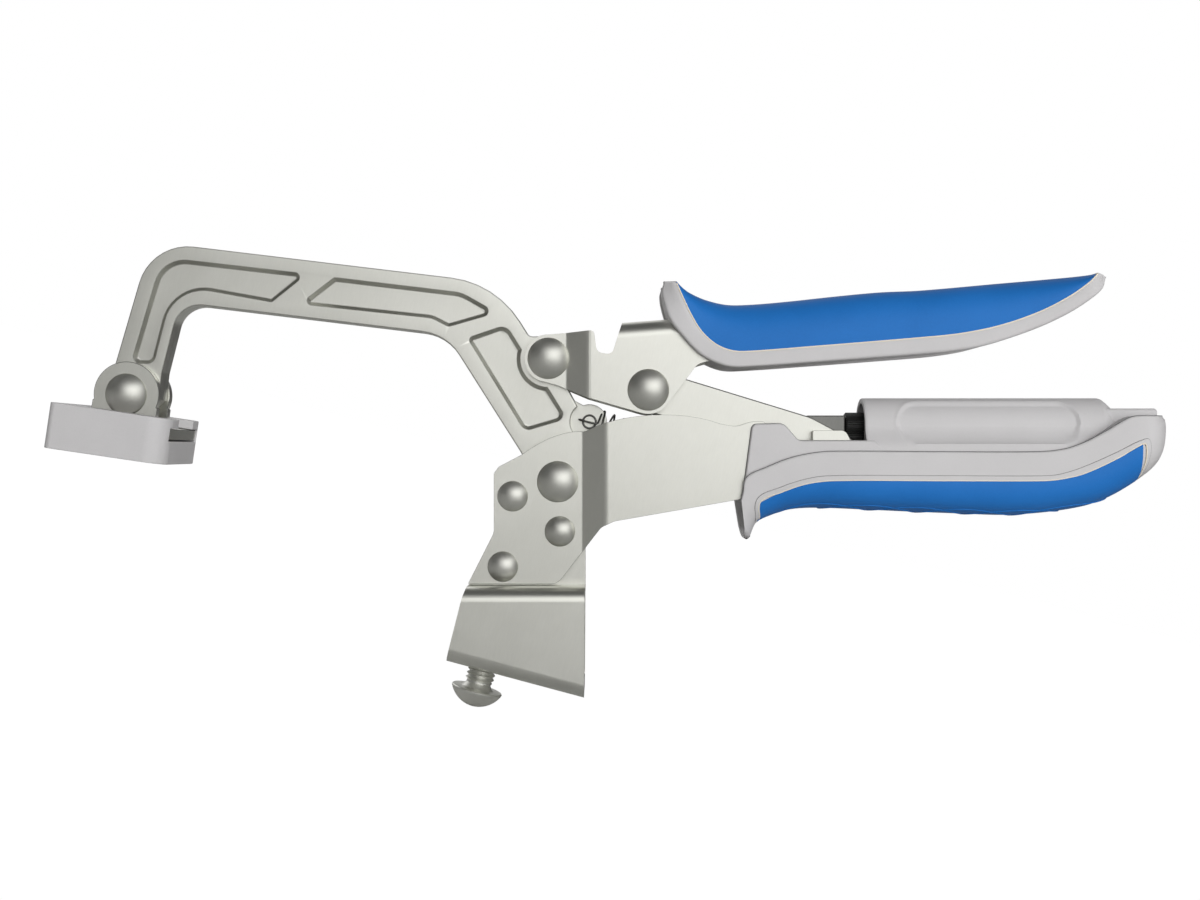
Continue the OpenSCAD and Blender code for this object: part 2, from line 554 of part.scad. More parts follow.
// Pad: a plastic block slid on a steel foot whose ears straddle the arm
module pad_frame() { translate([pivot_p[0], 0, pivot_p[1]]) rotate([0, pad_tilt, 0]) children(); }
pad_top = -4.9;
module pad_foot() color(steel) tilted() pad_frame() difference() {
  union() {
    for (s = [-1, 1]) scale([1, s, 1]) side(narrow_in, narrow_out) {
      circle(r = 9);
      translate([-9, -10.6]) square([18, 8]);
    }
    translate([-12.5, -13.5, -10.6]) cube([27.5, 27, 3]);
  }
  across([0, 0], pivot_shank_r, -10, 10);
}
module pad_cover() color(grey) tilted() pad_frame() difference() {
  translate([-0.5, 0, pad_top - pad_h]) linear_extrude(pad_h) polygon(rounded([[-pad_len / 2, -pad_w / 2, 2],
    [pad_len / 2, -pad_w / 2, 6], [pad_len / 2, pad_w / 2, 6], [-pad_len / 2, pad_w / 2, 2]]));
  translate([-12.6, -13.6, -11.0]) cube([40, 27.2, 3.6]);
  translate([-10.2, -narrow_out - 0.4, -9]) cube([40, 2 * narrow_out + 0.8, 10]);
}
module pad_pivot_rivet() color(bright) tilted() pivot_rivet(pivot_p, narrow_out);

base_bracket();
web_spacer();
base_bolt();
base_nut();
fixed_rivets_set();
body_plate_near();
body_plate_far();
arm_pivot_rivet();
spring_anchor();
lower_grip();
lower_grip_inlay();
screw_housing_nut();
adjusting_screw();
knurled_knob();
pressure_block();
clamp_arm();
handle_channel();
handle_pivot_rivet();
link_pivot_rivet();
upper_grip();
upper_grip_inlay();
link_plate_near();
link_plate_far();
link_bush();
link_tail_pin();
return_spring();
pad_pivot_rivet();
pad_foot();
pad_cover();
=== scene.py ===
"""Bench clamp, closed and locked, seen from its side: plated steel and two-colour moulded grips."""
import math

import bmesh
import bpy
from mathutils import Matrix, Vector


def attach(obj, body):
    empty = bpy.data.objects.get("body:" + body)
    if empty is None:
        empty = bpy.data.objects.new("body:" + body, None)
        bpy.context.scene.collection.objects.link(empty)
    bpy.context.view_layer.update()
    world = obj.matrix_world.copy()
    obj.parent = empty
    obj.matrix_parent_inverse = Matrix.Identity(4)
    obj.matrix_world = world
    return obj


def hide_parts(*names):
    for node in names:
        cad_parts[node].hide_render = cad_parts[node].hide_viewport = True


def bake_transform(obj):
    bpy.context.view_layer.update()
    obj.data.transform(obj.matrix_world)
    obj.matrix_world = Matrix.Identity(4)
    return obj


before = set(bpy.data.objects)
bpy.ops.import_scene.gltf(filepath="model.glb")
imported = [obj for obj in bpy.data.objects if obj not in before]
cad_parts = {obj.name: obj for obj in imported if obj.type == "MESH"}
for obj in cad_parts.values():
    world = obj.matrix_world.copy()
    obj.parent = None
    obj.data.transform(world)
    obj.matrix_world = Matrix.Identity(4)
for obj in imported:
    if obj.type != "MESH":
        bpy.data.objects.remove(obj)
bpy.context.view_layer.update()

# The clamp is drawn level, in millimetres, and lean() turns such a point on to its base, in metres.
MM = 0.001
RAKE = math.radians(15)
ACROSS = Vector((math.cos(RAKE), 0, math.sin(RAKE)))
UPRIGHT = Vector((-math.sin(RAKE), 0, math.cos(RAKE)))


def lean(x, y, z):
    return (ACROSS * x + Vector((0, y, 0)) + UPRIGHT * z) * MM


def placed(name, data):
    """A new object in the scene."""
    made = bpy.data.objects.new(name, data)
    bpy.context.collection.objects.link(made)
    return made


def finished(work):
    """The mesh of a bmesh, with its faces turned outwards."""
    bmesh.ops.recalc_face_normals(work, faces=work.faces)
    mesh = bpy.data.meshes.new("shape")
    work.to_mesh(mesh)
    work.free()
    return mesh


# Camera: square on to the clamp's side, rolled with its lean, so that the handles lie level in the picture.
CAMERA_SPOT = (23.06, -420, 62.63)
camera = placed("camera", bpy.data.cameras.new("camera"))
camera.data.lens = 45
camera.data.sensor_width = 36
camera.data.clip_start = 0.01
camera.matrix_world = Matrix((
    (ACROSS.x, UPRIGHT.x, 0, 0), (0, 0, -1, 0), (ACROSS.z, UPRIGHT.z, 0, 0), (0, 0, 0, 1)))
camera.location = lean(*CAMERA_SPOT)
bpy.context.scene.camera = camera
bpy.context.scene.view_settings.view_transform = "Standard"


# Shader wiring: expressions on Wire add the nodes they need, and a finish is one principled shader.
def feed(socket, value):
    """Links a wire to a socket, or sets the socket to a value."""
    if isinstance(value, Wire):
        value.tree.links.new(value.socket, socket)
    else:
        socket.default_value = value


class Wire:
    def __init__(self, tree, socket):
        self.tree = tree
        self.socket = socket

    def make(self, kind, settings=(), inputs=(), out=0):
        node = self.tree.nodes.new(kind)
        for name, value in dict(settings).items():
            setattr(node, name, value)
        for name, value in dict(inputs).items():
            feed(node.inputs[name], value)
        return Wire(self.tree, node.outputs[out])

    def maths(self, operation, *others):
        return self.make("ShaderNodeMath", {"operation": operation}, enumerate((self, *others)))

    def __add__(self, other):
        return self.maths("ADD", other)

    __radd__ = __add__

    def __sub__(self, other):
        return self.maths("SUBTRACT", other)

    def __rsub__(self, other):
        return self.make("ShaderNodeMath", {"operation": "SUBTRACT"}, {0: other, 1: self})

    def __mul__(self, other):
        return self.maths("MULTIPLY", other)

    __rmul__ = __mul__

    def part(self, axis):
        return self.make("ShaderNodeSeparateXYZ", (), {"Vector": self}, axis)

    def band(self, low, high, shape="SMOOTHSTEP"):
        return self.make("ShaderNodeMapRange", {"interpolation_type": shape},
                         {"Value": self, "From Min": low, "From Max": high})

    def noise(self, scale, detail=4.0, roughness=0.5):
        return self.make("ShaderNodeTexNoise", (), {
            "Vector": self, "Scale": scale, "Detail": detail, "Roughness": roughness})

    def stretched(self, scale, turn=(0, 0, 0)):
        return self.make("ShaderNodeMapping", (), {"Vector": self, "Scale": scale, "Rotation": turn})

    def tint(self, low, high):
        return self.make("ShaderNodeMix", {"data_type": "RGBA"}, {0: self, 6: (*low, 1), 7: (*high, 1)}, 2)


class Finish:
    """A material in the making: a principled shader, and place, the piece's own coordinates."""

    def __init__(self, name, metal=0.0):
        self.material = bpy.data.materials.new(name)
        self.material.use_nodes = True
        self.tree = self.material.node_tree
        self.shader = self.tree.nodes["Principled BSDF"]
        feed(self.shader.inputs["Metallic"], metal)
        self.place = Wire(self.tree, None).make("ShaderNodeTexCoord", (), (), "Object")

    def close(self, colour, roughness, height=None, distance=0.0, strength=0.0):
        feed(self.shader.inputs["Base Color"], colour)
        feed(self.shader.inputs["Roughness"], roughness)
        if height is not None:
            feed(self.shader.inputs["Normal"], height.make("ShaderNodeBump", (), {
                "Height": height, "Distance": distance, "Strength": strength}))
        return self.material


# Plated sheet and forgings: warm satin nickel over tumbled steel, with a faint rolled grain and small scuffs.
def plated_steel(name, light, dark, rough):
    finish = Finish(name, 1.0)
    cloud = finish.place.noise(34, 5, 0.6)
    grain = finish.place.stretched((420, 900, 60)).noise(6, 3, 0.6)
    scuff = finish.place.stretched((900, 300, 1500), (0.3, 0.5, 0.2)).noise(2.2, 6, 0.7).band(0.62, 0.72)
    colour = (cloud * 0.75 + grain * 0.25).band(0.25, 0.75).tint(dark, light)
    roughness = cloud * 0.10 + grain * 0.05 + scuff * 0.08 + rough
    relief = grain * 0.6 + scuff * 0.5 + finish.place.noise(2600, 2) * 0.5
    return finish.close(colour, roughness, relief, 0.00002, 0.35)


nickel = plated_steel("satin nickel plate", (0.80, 0.80, 0.745), (0.72, 0.72, 0.665), 0.27)
rivet_steel = plated_steel("tumbled rivet steel", (0.76, 0.76, 0.71), (0.66, 0.66, 0.61), 0.35)
bolt_steel = plated_steel("plain bolt steel", (0.86, 0.86, 0.81), (0.76, 0.76, 0.715), 0.32)
# A dark nickel for the broken rims of the sheet pieces: painted shade along their edges.
painted_rim_shade = plated_steel("sheared rim", (0.34, 0.34, 0.32), (0.26, 0.26, 0.245), 0.36)
# A dark steel for the pressure block, which sits between the plates: painted shadow.
shaded_block_steel = plated_steel("sintered block steel", (0.30, 0.30, 0.285), (0.22, 0.22, 0.21), 0.40)
# A darker nickel for the arm's pocket walls and outer lips: painted shade in the recesses and on the rims.
pocket_shade_steel = plated_steel("forged pocket wall", (0.60, 0.60, 0.555), (0.50, 0.50, 0.46), 0.33)


def freeze(piece, body, replaces=()):
    """Applies a piece's modifiers and sets it on its body, in place of the nodes that it dresses."""
    if piece.modifiers:
        done = bpy.data.meshes.new_from_object(piece.evaluated_get(bpy.context.evaluated_depsgraph_get()))
        done.name = piece.name
        piece.modifiers.clear()
        piece.data = done
    if body:
        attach(piece, body)
    if replaces:
        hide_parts(*replaces)
    return piece


def settle(name, mesh, material, body, replaces=(), smooth=35, second=None, broken=None):
    """A mesh as a piece. Edges that turn more than smooth, in degrees, stay sharp, or are broken to a width
    in so many steps."""
    piece = placed(name, mesh)
    mesh.materials.append(material)
    if second:
        mesh.materials.append(second)
    mesh.shade_smooth()
    mesh.set_sharp_from_angle(angle=math.radians(smooth))
    if broken:
        bevel = piece.modifiers.new("broken edge", "BEVEL")
        bevel.width, bevel.segments = broken
        bevel.limit_method = "ANGLE"
        bevel.angle_limit = math.radians(smooth)
        bevel.miter_outer = "MITER_ARC"
        bevel.material = 1 if second else -1
        bevel.use_clamp_overlap = True
    piece.modifiers.new("even shading", "WEIGHTED_NORMAL").keep_sharp = True
    return freeze(piece, body, replaces)


# Sheet pieces keep the solid they were cut as: each is a copy with its triangles merged and its edges broken,
# the way tumbling leaves a blanked plate. The broken rims are painted darker than the face: painted shade.
WELD = 2e-6
FLAT_WITHIN = math.radians(1.2)
SLIT_START, SLIT_END, SLIT_TOP = 27.4, 28, 80.6


def close_slit(work):
    """Shuts the outer face of the thin wedge where a cheek's two cuts meet. Its inner face stays open."""
    def at_slit(vert):
        return SLIT_START < vert.co.dot(ACROSS) / MM < SLIT_END and vert.co.dot(UPRIGHT) / MM < SLIT_TOP

    bmesh.ops.remove_doubles(work, verts=[vert for vert in work.verts if at_slit(vert)], dist=0.5 * MM)
    walls = [face for face in work.faces
             if abs(face.normal.dot(ACROSS)) > 0.9 and all(map(at_slit, face.verts))]
    bmesh.ops.delete(work, geom=walls, context="FACES_ONLY")
    bmesh.ops.dissolve_degenerate(work, dist=1e-6, edges=work.edges)


def broken_edges(node, body, material, width=0.3, rings=2, rim=None, repair=None):
    """A copy of a node's solid with its rims broken by width, in a finish of their own if one is given: the
    darker rim finish is painted shade.
    """
    work = bmesh.new()
    work.from_mesh(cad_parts[node].data)
    bmesh.ops.remove_doubles(work, verts=work.verts, dist=WELD)
    if repair:
        repair(work)
    bmesh.ops.dissolve_limit(work, angle_limit=FLAT_WITHIN, verts=work.verts, edges=work.edges)
    settle(node + "_skin", finished(work), material, body, (node,), 32, rim, (width * MM, rings))


broken_edges("base_bracket", "body", nickel, 0.25, rim=painted_rim_shade)
for node in ("body_plate_near", "body_plate_far"):
    broken_edges(node, "body", nickel, rim=painted_rim_shade)
broken_edges("handle_channel", "upper_handle", nickel, rim=painted_rim_shade, repair=close_slit)
for node, body in (("link_plate_near", "link"), ("link_plate_far", "link"), ("pad_foot", "pad")):
    broken_edges(node, body, nickel, rim=painted_rim_shade)
# The pressure block is painted dark for the shadow it sits in.
broken_edges("pressure_block", "pressure_slide", shaded_block_steel)


# Clamp arm: a drop-forged C with three sunk pockets on each face and a thinner lug for the spring. An outline
# is a list of corners, (x, z) or (x, z, radius), and each pocket wall slopes in to a flat floor.
PIVOTS = {"arm": (11.4, 53.9), "handle": (8.8, 87.9), "link": (36.3, 79.1), "pad": (-107.5, 78.0)}
LUG = (20.1, 70.5)
LUG_HALF, LUG_BORE = 1.5, 1.9
ARM_HALF, ARM_BORE, POCKET_DEPTH = 4.0, 3.05, 1.3
ROUND_STEP = 9


def offset_corners(corners, inset):
    """The outline drawn in by inset, with the radius of each corner changed to match."""
    count = len(corners)
    area = sum(corners[i - 1][0] * corners[i][1] - corners[i][0] * corners[i - 1][1] for i in range(count))
    hand = 1 if area > 0 else -1
    moved = []
    for i, corner in enumerate(corners):
        here = Vector(corner[:2])
        before = (here - Vector(corners[i - 1][:2])).normalized()
        after = (Vector(corners[(i + 1) % count][:2]) - here).normalized()
        inward = Vector((-before.y, before.x)) * hand, Vector((-after.y, after.x)) * hand
        share = max(0.25, 1 + inward[0].dot(inward[1]))
        radius = corner[2] if len(corner) > 2 else 0
        turn = (before.x * after.y - before.y * after.x) * hand
        if radius:
            radius = max(0.04, radius - inset) if turn > 0 else radius + inset
        moved.append((*(here + (inward[0] + inward[1]) * inset / share), radius))
    return moved


def rounded(corners, inset=0.0):
    """The points of an outline, drawn in by inset, with its corners rounded."""
    if inset:
        corners = offset_corners(corners, inset)
    count = len(corners)
    line = []
    for i, corner in enumerate(corners):
        here = Vector(corner[:2])
        radius = corner[2] if len(corner) > 2 else 0
        if not radius:
            line.append(here)
            continue
        back = (Vector(corners[i - 1][:2]) - here).normalized()
        on = (Vector(corners[(i + 1) % count][:2]) - here).normalized()
        half = math.acos(max(-1, min(1, back.dot(on)))) / 2
        turn = math.pi - 2 * half
        centre = here + (back + on).normalized() * radius / math.sin(half)
        first = here + back * radius / math.tan(half) - centre
        last = here + on * radius / math.tan(half) - centre
        side = 1 if first.x * last.y - first.y * last.x > 0 else -1
        pieces = max(1, round(math.degrees(turn) / ROUND_STEP + 0.49))
        for k in range(pieces + 1):
            angle = side * turn * k / pieces
            line.append(centre + Matrix.Rotation(angle, 2) @ first)
    return line


def arc(centre, radius, start, end, step=ROUND_STEP):
    count = max(1, math.ceil(abs(end - start) / step))
    angles = [math.radians(start + (end - start) * k / count) for k in range(count + 1)]
    return [(centre[0] + radius * math.cos(a), centre[1] + radius * math.sin(a)) for a in angles]


def circle_line(centre, radius, count=40):
    return [Vector(p) for p in arc(centre, radius, 0, 360, 360 / count)[:-1]]


def loop_at(work, line, y):
    """A closed loop of a bmesh's points along a line of the side view, at a depth."""
    verts = [work.verts.new(lean(p[0], y, p[1])) for p in line]
    for i, vert in enumerate(verts):
        work.edges.new((vert, verts[(i + 1) % len(verts)]))
    return verts


def join(work, one, two, finish=0):
    """A wall between two closed loops."""
    for i in range(len(one)):
        j = (i + 1) % len(one)
        work.faces.new((one[i], one[j], two[j], two[i])).material_index = finish


def fill(work, *loops):
    """Faces that close the first loop, with the others as holes."""
    edges = [work.edges.get((ring[i - 1], ring[i])) for ring in loops for i in range(len(ring))]
    bmesh.ops.triangle_fill(work, edges=edges, use_beauty=True)


def lipped_walls(work, corners, half, soft, ridge=0.0, painted_shade_lips=False):
    """The rounded outer wall of a plate, with a forging's parting ridge if asked, and its face loops. Its
    outer lip rows can take the second finish, a painted shade.
    """
    quarter = [math.radians(30 * k) for k in range(4)]
    lip = [(half - soft * (1 - math.cos(a)), soft * (1 - math.sin(a))) for a in quarter]
    middle = [(-0.45, 0), (-0.15, -ridge), (0.15, -ridge), (0.45, 0)] if ridge else []
    rows = [(-y, inset) for y, inset in lip] + middle + lip[::-1]
    loops = [loop_at(work, rounded(corners, inset), y) for y, inset in rows]
    for k, (one, two) in enumerate(zip(loops, loops[1:])):
        join(work, one, two, 1 if painted_shade_lips and (k < 2 or k > len(loops) - 4) else 0)
    return loops[0], loops[-1]


def slab(name, corners, half, soft, material, body, smooth):
    """A plate piece with rounded edges, between -half and half."""
    work = bmesh.new()
    for face in lipped_walls(work, corners, half, soft):
        fill(work, face)
    return settle(name, finished(work), material, body, smooth=smooth)


def sunk_pocket(work, corners, face_y, side):
    """A pocket in the face at face_y: its rim is eased, its wall slopes in, and its floor is flat. Rim and
    wall take the second finish, a painted shade.
    """
    rows = ((-0.14, 0), (0, 0.04), (0.12, 0.16), (0.82, POCKET_DEPTH - 0.16), (0.95, POCKET_DEPTH - 0.04),
            (1.12, POCKET_DEPTH))
    loops = [loop_at(work, rounded(corners, inset), face_y - side * deep) for inset, deep in rows]
    for one, two in zip(loops, loops[1:]):
        join(work, one, two, 1)
    fill(work, loops[-1])
    return loops[0]


arm_corners = [
    *arc(PIVOTS["pad"], 7, -25, -212), (-112.4, 83.2, 5), (-101.5, 120.5, 14), (-5.9, 109, 26),
    (3.4, 94.1, 2), (10.5, 94.4, 3), (14.4, 79.2), *arc(LUG, 5.3, 128, 244), (17.8, 60.3),
    *arc(PIVOTS["arm"], 9.1, 40, -197), (1.4, 61.5, 6), (-19.6, 94.6, 14), (-93.6, 103.5, 7.5),
    (-98.5, 84, 5), (-99.4, 76.5)]
arm_pockets = [
    [(-107.2, 86.6, 2), (-98.4, 116.1, 8.5), (-58.2, 111.5, 1.4), (-68, 103.6, 1.3), (-95.1, 108.5, 11),
     (-100.7, 86.6, 2.4)],
    [(-60.3, 103.1, 1.3), (-50.7, 110.5, 1.5), (-15.4, 106.3, 10), (-5.4, 100.7, 1.6), (-19, 96.8, 1.5),
     (-23.7, 99.2, 6)],
    [(-13.8, 93.7, 1.2), (-3, 97.4, 3.2), *arc(PIVOTS["handle"], 7.9, 161, 268), (13.9, 71.3, 2.2),
     (2.1, 67.8, 2.6)]]
arm = bmesh.new()
# The arm's outer lip rows take the second finish, a painted shade.
near_face, far_face = lipped_walls(arm, arm_corners, ARM_HALF, 0.35, 0.1, True)
bores = [circle_line(PIVOTS[name], ARM_BORE) for name in ("arm", "handle", "pad")]
rims = {}
for side, outer in ((-1, near_face), (1, far_face)):
    pockets = [sunk_pocket(arm, corners, side * ARM_HALF, side) for corners in arm_pockets]
    rims[side] = [loop_at(arm, bore, side * ARM_HALF) for bore in bores]
    fill(arm, outer, *pockets, *rims[side])
for one, two in zip(rims[-1], rims[1]):
    join(arm, one, two)
lug = [*arc(LUG, 4.9, 110, -110), (13, 62.5), (13, 78)]
lug_faces = lipped_walls(arm, lug, LUG_HALF, 0.25)
lug_holes = [loop_at(arm, circle_line(LUG, LUG_BORE, 24), y) for y in (-LUG_HALF, LUG_HALF)]
join(arm, *lug_holes)
for outer, hole in zip(lug_faces, lug_holes):
    fill(arm, outer, hole)
# Pocket walls and outer lips are in the second, darker finish: painted shade.
settle("arm_forging", finished(arm), nickel, "arm", ("clamp_arm",), 28, pocket_shade_steel)


# Rivets: cold-headed steel pins, domed at both ends. Four carry moving parts and three hold the body plates.
# One head is turned and set on its pins, on the near and the far side.
def turned(profile, around=48):
    """A closed body of revolution about Z from (radius, height) points that start and end on the axis."""
    work = bmesh.new()
    rings = []
    for radius, height in profile:
        if radius < 1e-6:
            rings.append([work.verts.new((0, 0, height * MM))])
        else:
            turns = [math.tau * k / around for k in range(around)]
            rings.append([work.verts.new((radius * math.cos(a) * MM, radius * math.sin(a) * MM, height * MM))
                          for a in turns])
    for low, high in zip(rings, rings[1:]):
        for k in range(around):
            n = (k + 1) % around
            quad = [low[k % len(low)], low[n % len(low)], high[n % len(high)], high[k % len(high)]]
            corners = list(dict.fromkeys(quad))
            if len(corners) > 2:
                work.faces.new(corners)
    return finished(work)


class Recipe:
    """A geometry node tree in the making, with named number inputs. done() runs it on points and edges."""

    def __init__(self, name, **numbers):
        self.tree = bpy.data.node_groups.new(name, "GeometryNodeTree")
        self.tree.interface.new_socket("Geometry", in_out="OUTPUT", socket_type="NodeSocketGeometry")
        self.tree.interface.new_socket("Geometry", in_out="INPUT", socket_type="NodeSocketGeometry")
        self.numbers = {}
        for label, value in numbers.items():
            kind = "NodeSocketInt" if isinstance(value, int) else "NodeSocketFloat"
            socket = self.tree.interface.new_socket(label, in_out="INPUT", socket_type=kind)
            self.numbers[label] = (socket.identifier, value)
        self.start = self.tree.nodes.new("NodeGroupInput")
        self.shape = Wire(self.tree, self.start.outputs["Geometry"])

    def number(self, label):
        return Wire(self.tree, self.start.outputs[label])

    def done(self, shape, material, smooth, points=(), edges=()):
        real = shape.make("GeometryNodeRealizeInstances", (), {"Geometry": shape})
        paint = real.make("GeometryNodeSetMaterial", (), {"Geometry": real, "Material": material})
        feed(self.tree.nodes.new("NodeGroupOutput").inputs[0], paint)
        mesh = bpy.data.meshes.new(self.tree.name)
        mesh.from_pydata([tuple(p) for p in points], edges, [])
        piece = placed(self.tree.name, mesh)
        steps = piece.modifiers.new(self.tree.name, "NODES")
        steps.node_group = self.tree
        for identifier, value in self.numbers.values():
            steps[identifier] = value
        freeze(piece, None)
        piece.data.shade_smooth()
        piece.data.set_sharp_from_angle(angle=math.radians(smooth))
        return piece


def dome(radius, height, count):
    """A round cap from its crown out to its edge, as (radius, depth under the crown)."""
    ball = (radius ** 2 + height ** 2) / (2 * height)
    edge = math.asin(radius / ball)
    angles = [edge * k / count for k in range(count + 1)]
    return [(ball * math.sin(a), ball - ball * math.cos(a)) for a in angles]


def rivet_head(radius, height, shank, grip):
    """Half a rivet's profile: the shank from its middle, the flat of the head, a short rim and the dome."""
    rim = 0.28
    profile = [(0, -grip), (shank, -grip), (shank, 0), (radius - 0.12, 0), (radius, 0.12), (radius, rim)]
    return profile + [(out, height - deep) for out, deep in dome(radius, height - rim, 14)[-2::-1]]


FIXED_RIVETS = ((-1, 49.9), (12, 40.2), (-3.7, 30.5))
HEAD_REACH, LINK_HEAD_REACH = 6.65, 9.5
LARGE_HEAD, SMALL_HEAD = (5.7, 2.9, 3), (4.2, 2.2, 2.5)


def riveted(name, body, node, places, reach=HEAD_REACH, head_size=LARGE_HEAD):
    """Rivets through the places, whose heads sit at reach on both sides."""
    head = bpy.data.objects.new("rivet head", turned(rivet_head(*head_size, reach)))
    recipe = Recipe(name, turn=math.pi / 2)
    spot = recipe.shape.make("GeometryNodeInputPosition").part(1)
    facing = spot.maths("SIGN") * recipe.number("turn") * -1.0
    spin = facing.make("ShaderNodeCombineXYZ", (), {"X": facing})
    source = recipe.shape.make("GeometryNodeObjectInfo", (), {"Object": head}, "Geometry")
    heads = recipe.shape.make("GeometryNodeInstanceOnPoints", (), {
        "Points": recipe.shape, "Instance": source, "Rotation": spin})
    points = [lean(x, side * reach, z) for x, z in places for side in (-1, 1)]
    piece = recipe.done(heads, rivet_steel, 50, points)
    bpy.data.objects.remove(head)
    return freeze(piece, body, (node,))


riveted("arm_pivot_rivet_heads", "body", "arm_pivot_rivet", [PIVOTS["arm"]])
riveted("fixed_rivet_heads", "body", "fixed_rivets_set", FIXED_RIVETS, head_size=SMALL_HEAD)
riveted("handle_pivot_rivet_heads", "upper_handle", "handle_pivot_rivet", [PIVOTS["handle"]])
riveted("link_pivot_rivet_heads", "upper_handle", "link_pivot_rivet", [PIVOTS["link"]], LINK_HEAD_REACH)
riveted("pad_pivot_rivet_heads", "pad", "pad_pivot_rivet", [PIVOTS["pad"]])


# Base bolt and small hardware: the bolt is a button head with a flared neck and a rolled M8 thread, head
# down. Each thread is one ridge wound up the shank.
def wound_thread(name, place, material, body, core, crown, pitch, turns, lead_in):
    """A thread along +Z from the origin, turned and moved by the matrix in place."""
    recipe = Recipe(name, core=core * MM, crown=crown * MM, pitch=pitch * MM, turns=float(turns))
    steps = turns * 30
    grid = recipe.shape.make("GeometryNodeMeshGrid", (), {
        "Size X": 1.0, "Size Y": 1.0, "Vertices X": steps + 1, "Vertices Y": 7})
    at = grid.make("GeometryNodeInputPosition")
    along = at.part(0) + 0.5
    over = at.part(1) + 0.5
    flank = (over - 0.5).maths("ABSOLUTE").band(0.07, 0.42, "LINEAR")
    height = (along * recipe.number("turns") + over - 1.0) * recipe.number("pitch")
    end = recipe.number("turns") * recipe.number("pitch") - recipe.number("pitch")
    inside = height.maths("MAXIMUM", 0.0).maths("MINIMUM", end)
    ease = (inside * (1.0 / (lead_in * MM))).maths("MINIMUM", 1.0)
    crest = recipe.number("crown") - (recipe.number("crown") - recipe.number("core")) * flank
    radius = recipe.number("core") + (crest - recipe.number("core")) * ease
    angle = along * recipe.number("turns") * math.tau
    spot = radius.make("ShaderNodeCombineXYZ", (), {
        "X": radius * angle.maths("COSINE"), "Y": radius * angle.maths("SINE"), "Z": inside})
    moved = grid.make("GeometryNodeSetPosition", (), {"Geometry": grid, "Position": spot})
    closed = moved.make("GeometryNodeMergeByDistance", (), {"Geometry": moved, "Distance": 1e-6})
    piece = recipe.done(closed, material, 60)
    work = bmesh.new()
    work.from_mesh(piece.data)
    bmesh.ops.holes_fill(work, edges=[edge for edge in work.edges if edge.is_boundary], sides=0)
    bmesh.ops.recalc_face_normals(work, faces=work.faces)
    work.to_mesh(piece.data)
    work.free()
    piece.data.transform(place)
    return freeze(piece, body)


BOLT_X, BOLT_END, NECK_TOP, SHANK_TOP = -9.9, -11.9, -6.8, 4
BOLT_HEAD_R, BOLT_DOME, SHANK_R = 7.15, 4.6, 3.36
bolt_profile = [(out, BOLT_END + deep) for out, deep in dome(BOLT_HEAD_R, BOLT_DOME, 12)]
bolt_profile += [(BOLT_HEAD_R, NECK_TOP - 0.25), (BOLT_HEAD_R - 0.2, NECK_TOP), (4.7, NECK_TOP), (4.15, -6.5),
                 (3.6, -5.6), (SHANK_R, -5.2), (SHANK_R, SHANK_TOP), (0, SHANK_TOP)]
bolt = settle("base_bolt_head", turned(bolt_profile, 64), bolt_steel, None, smooth=30)
bolt.data.transform(Matrix.Translation((BOLT_X * MM, 0, 0)))
freeze(bolt, "body", ("base_bolt",))
wound_thread("base_bolt_thread", Matrix.Translation((BOLT_X * MM, 0, -5.5 * MM)), bolt_steel, "body",
             core=3.35, crown=4.0, pitch=1.25, turns=14, lead_in=1.2)
broken_edges("base_nut", "body", bolt_steel, 0.5)
for node, body in (("web_spacer", "body"), ("spring_anchor", "body"), ("link_bush", "link"),
                   ("link_tail_pin", "link"), ("screw_housing_nut", "body")):
    broken_edges(node, body, bolt_steel, 0.2)


# Return spring: one drawn wire, ringed round a pin in the arm's lug, coiled, and looped round its anchor.
wire_steel = plated_steel("oiled spring wire", (0.20, 0.20, 0.19), (0.11, 0.11, 0.105), 0.24)
ANCHOR = (50, 58.4)
RING_R, COIL_R, EYE_R, SPRING_WIRE = 1.8, 4.4, 2.5, 0.28
FIRST_COIL, EYE_GAP, COILS, COIL_STEPS = 2.9, 3.4, 9, 24
spring_way = Vector((ANCHOR[0] - LUG[0], ANCHOR[1] - LUG[1]))
spring_turn = math.atan2(spring_way.y, spring_way.x)
span = spring_way.length
coil_pitch = (span - EYE_GAP - FIRST_COIL) / COILS


def wire_along(name, paths, radius, material, body, sides=10, closed=False):
    """Round wires drawn along paths of points, in metres."""
    recipe = Recipe(name, radius=radius * MM)
    path = []
    edges = []
    for line in paths:
        first, last = len(path), len(path) + len(line) - 1
        edges += [(k, k + 1) for k in range(first, last)] + ([(last, first)] if closed else [])
        path += line
    line = recipe.shape.make("GeometryNodeMeshToCurve", (), {"Mesh": recipe.shape})
    ring = line.make("GeometryNodeCurvePrimitiveCircle", (), {
        "Radius": recipe.number("radius"), "Resolution": sides})
    tube = line.make("GeometryNodeCurveToMesh", (), {"Curve": line, "Profile Curve": ring, "Fill Caps": True})
    return freeze(recipe.done(tube, material, 60, path, edges), body)


def on_spring(x, y, z):
    """A point along the spring from its ring, across it, and up from it."""
    c, s = math.cos(spring_turn), math.sin(spring_turn)
    return lean(LUG[0] + x * c - z * s, y, LUG[1] + x * s + z * c)


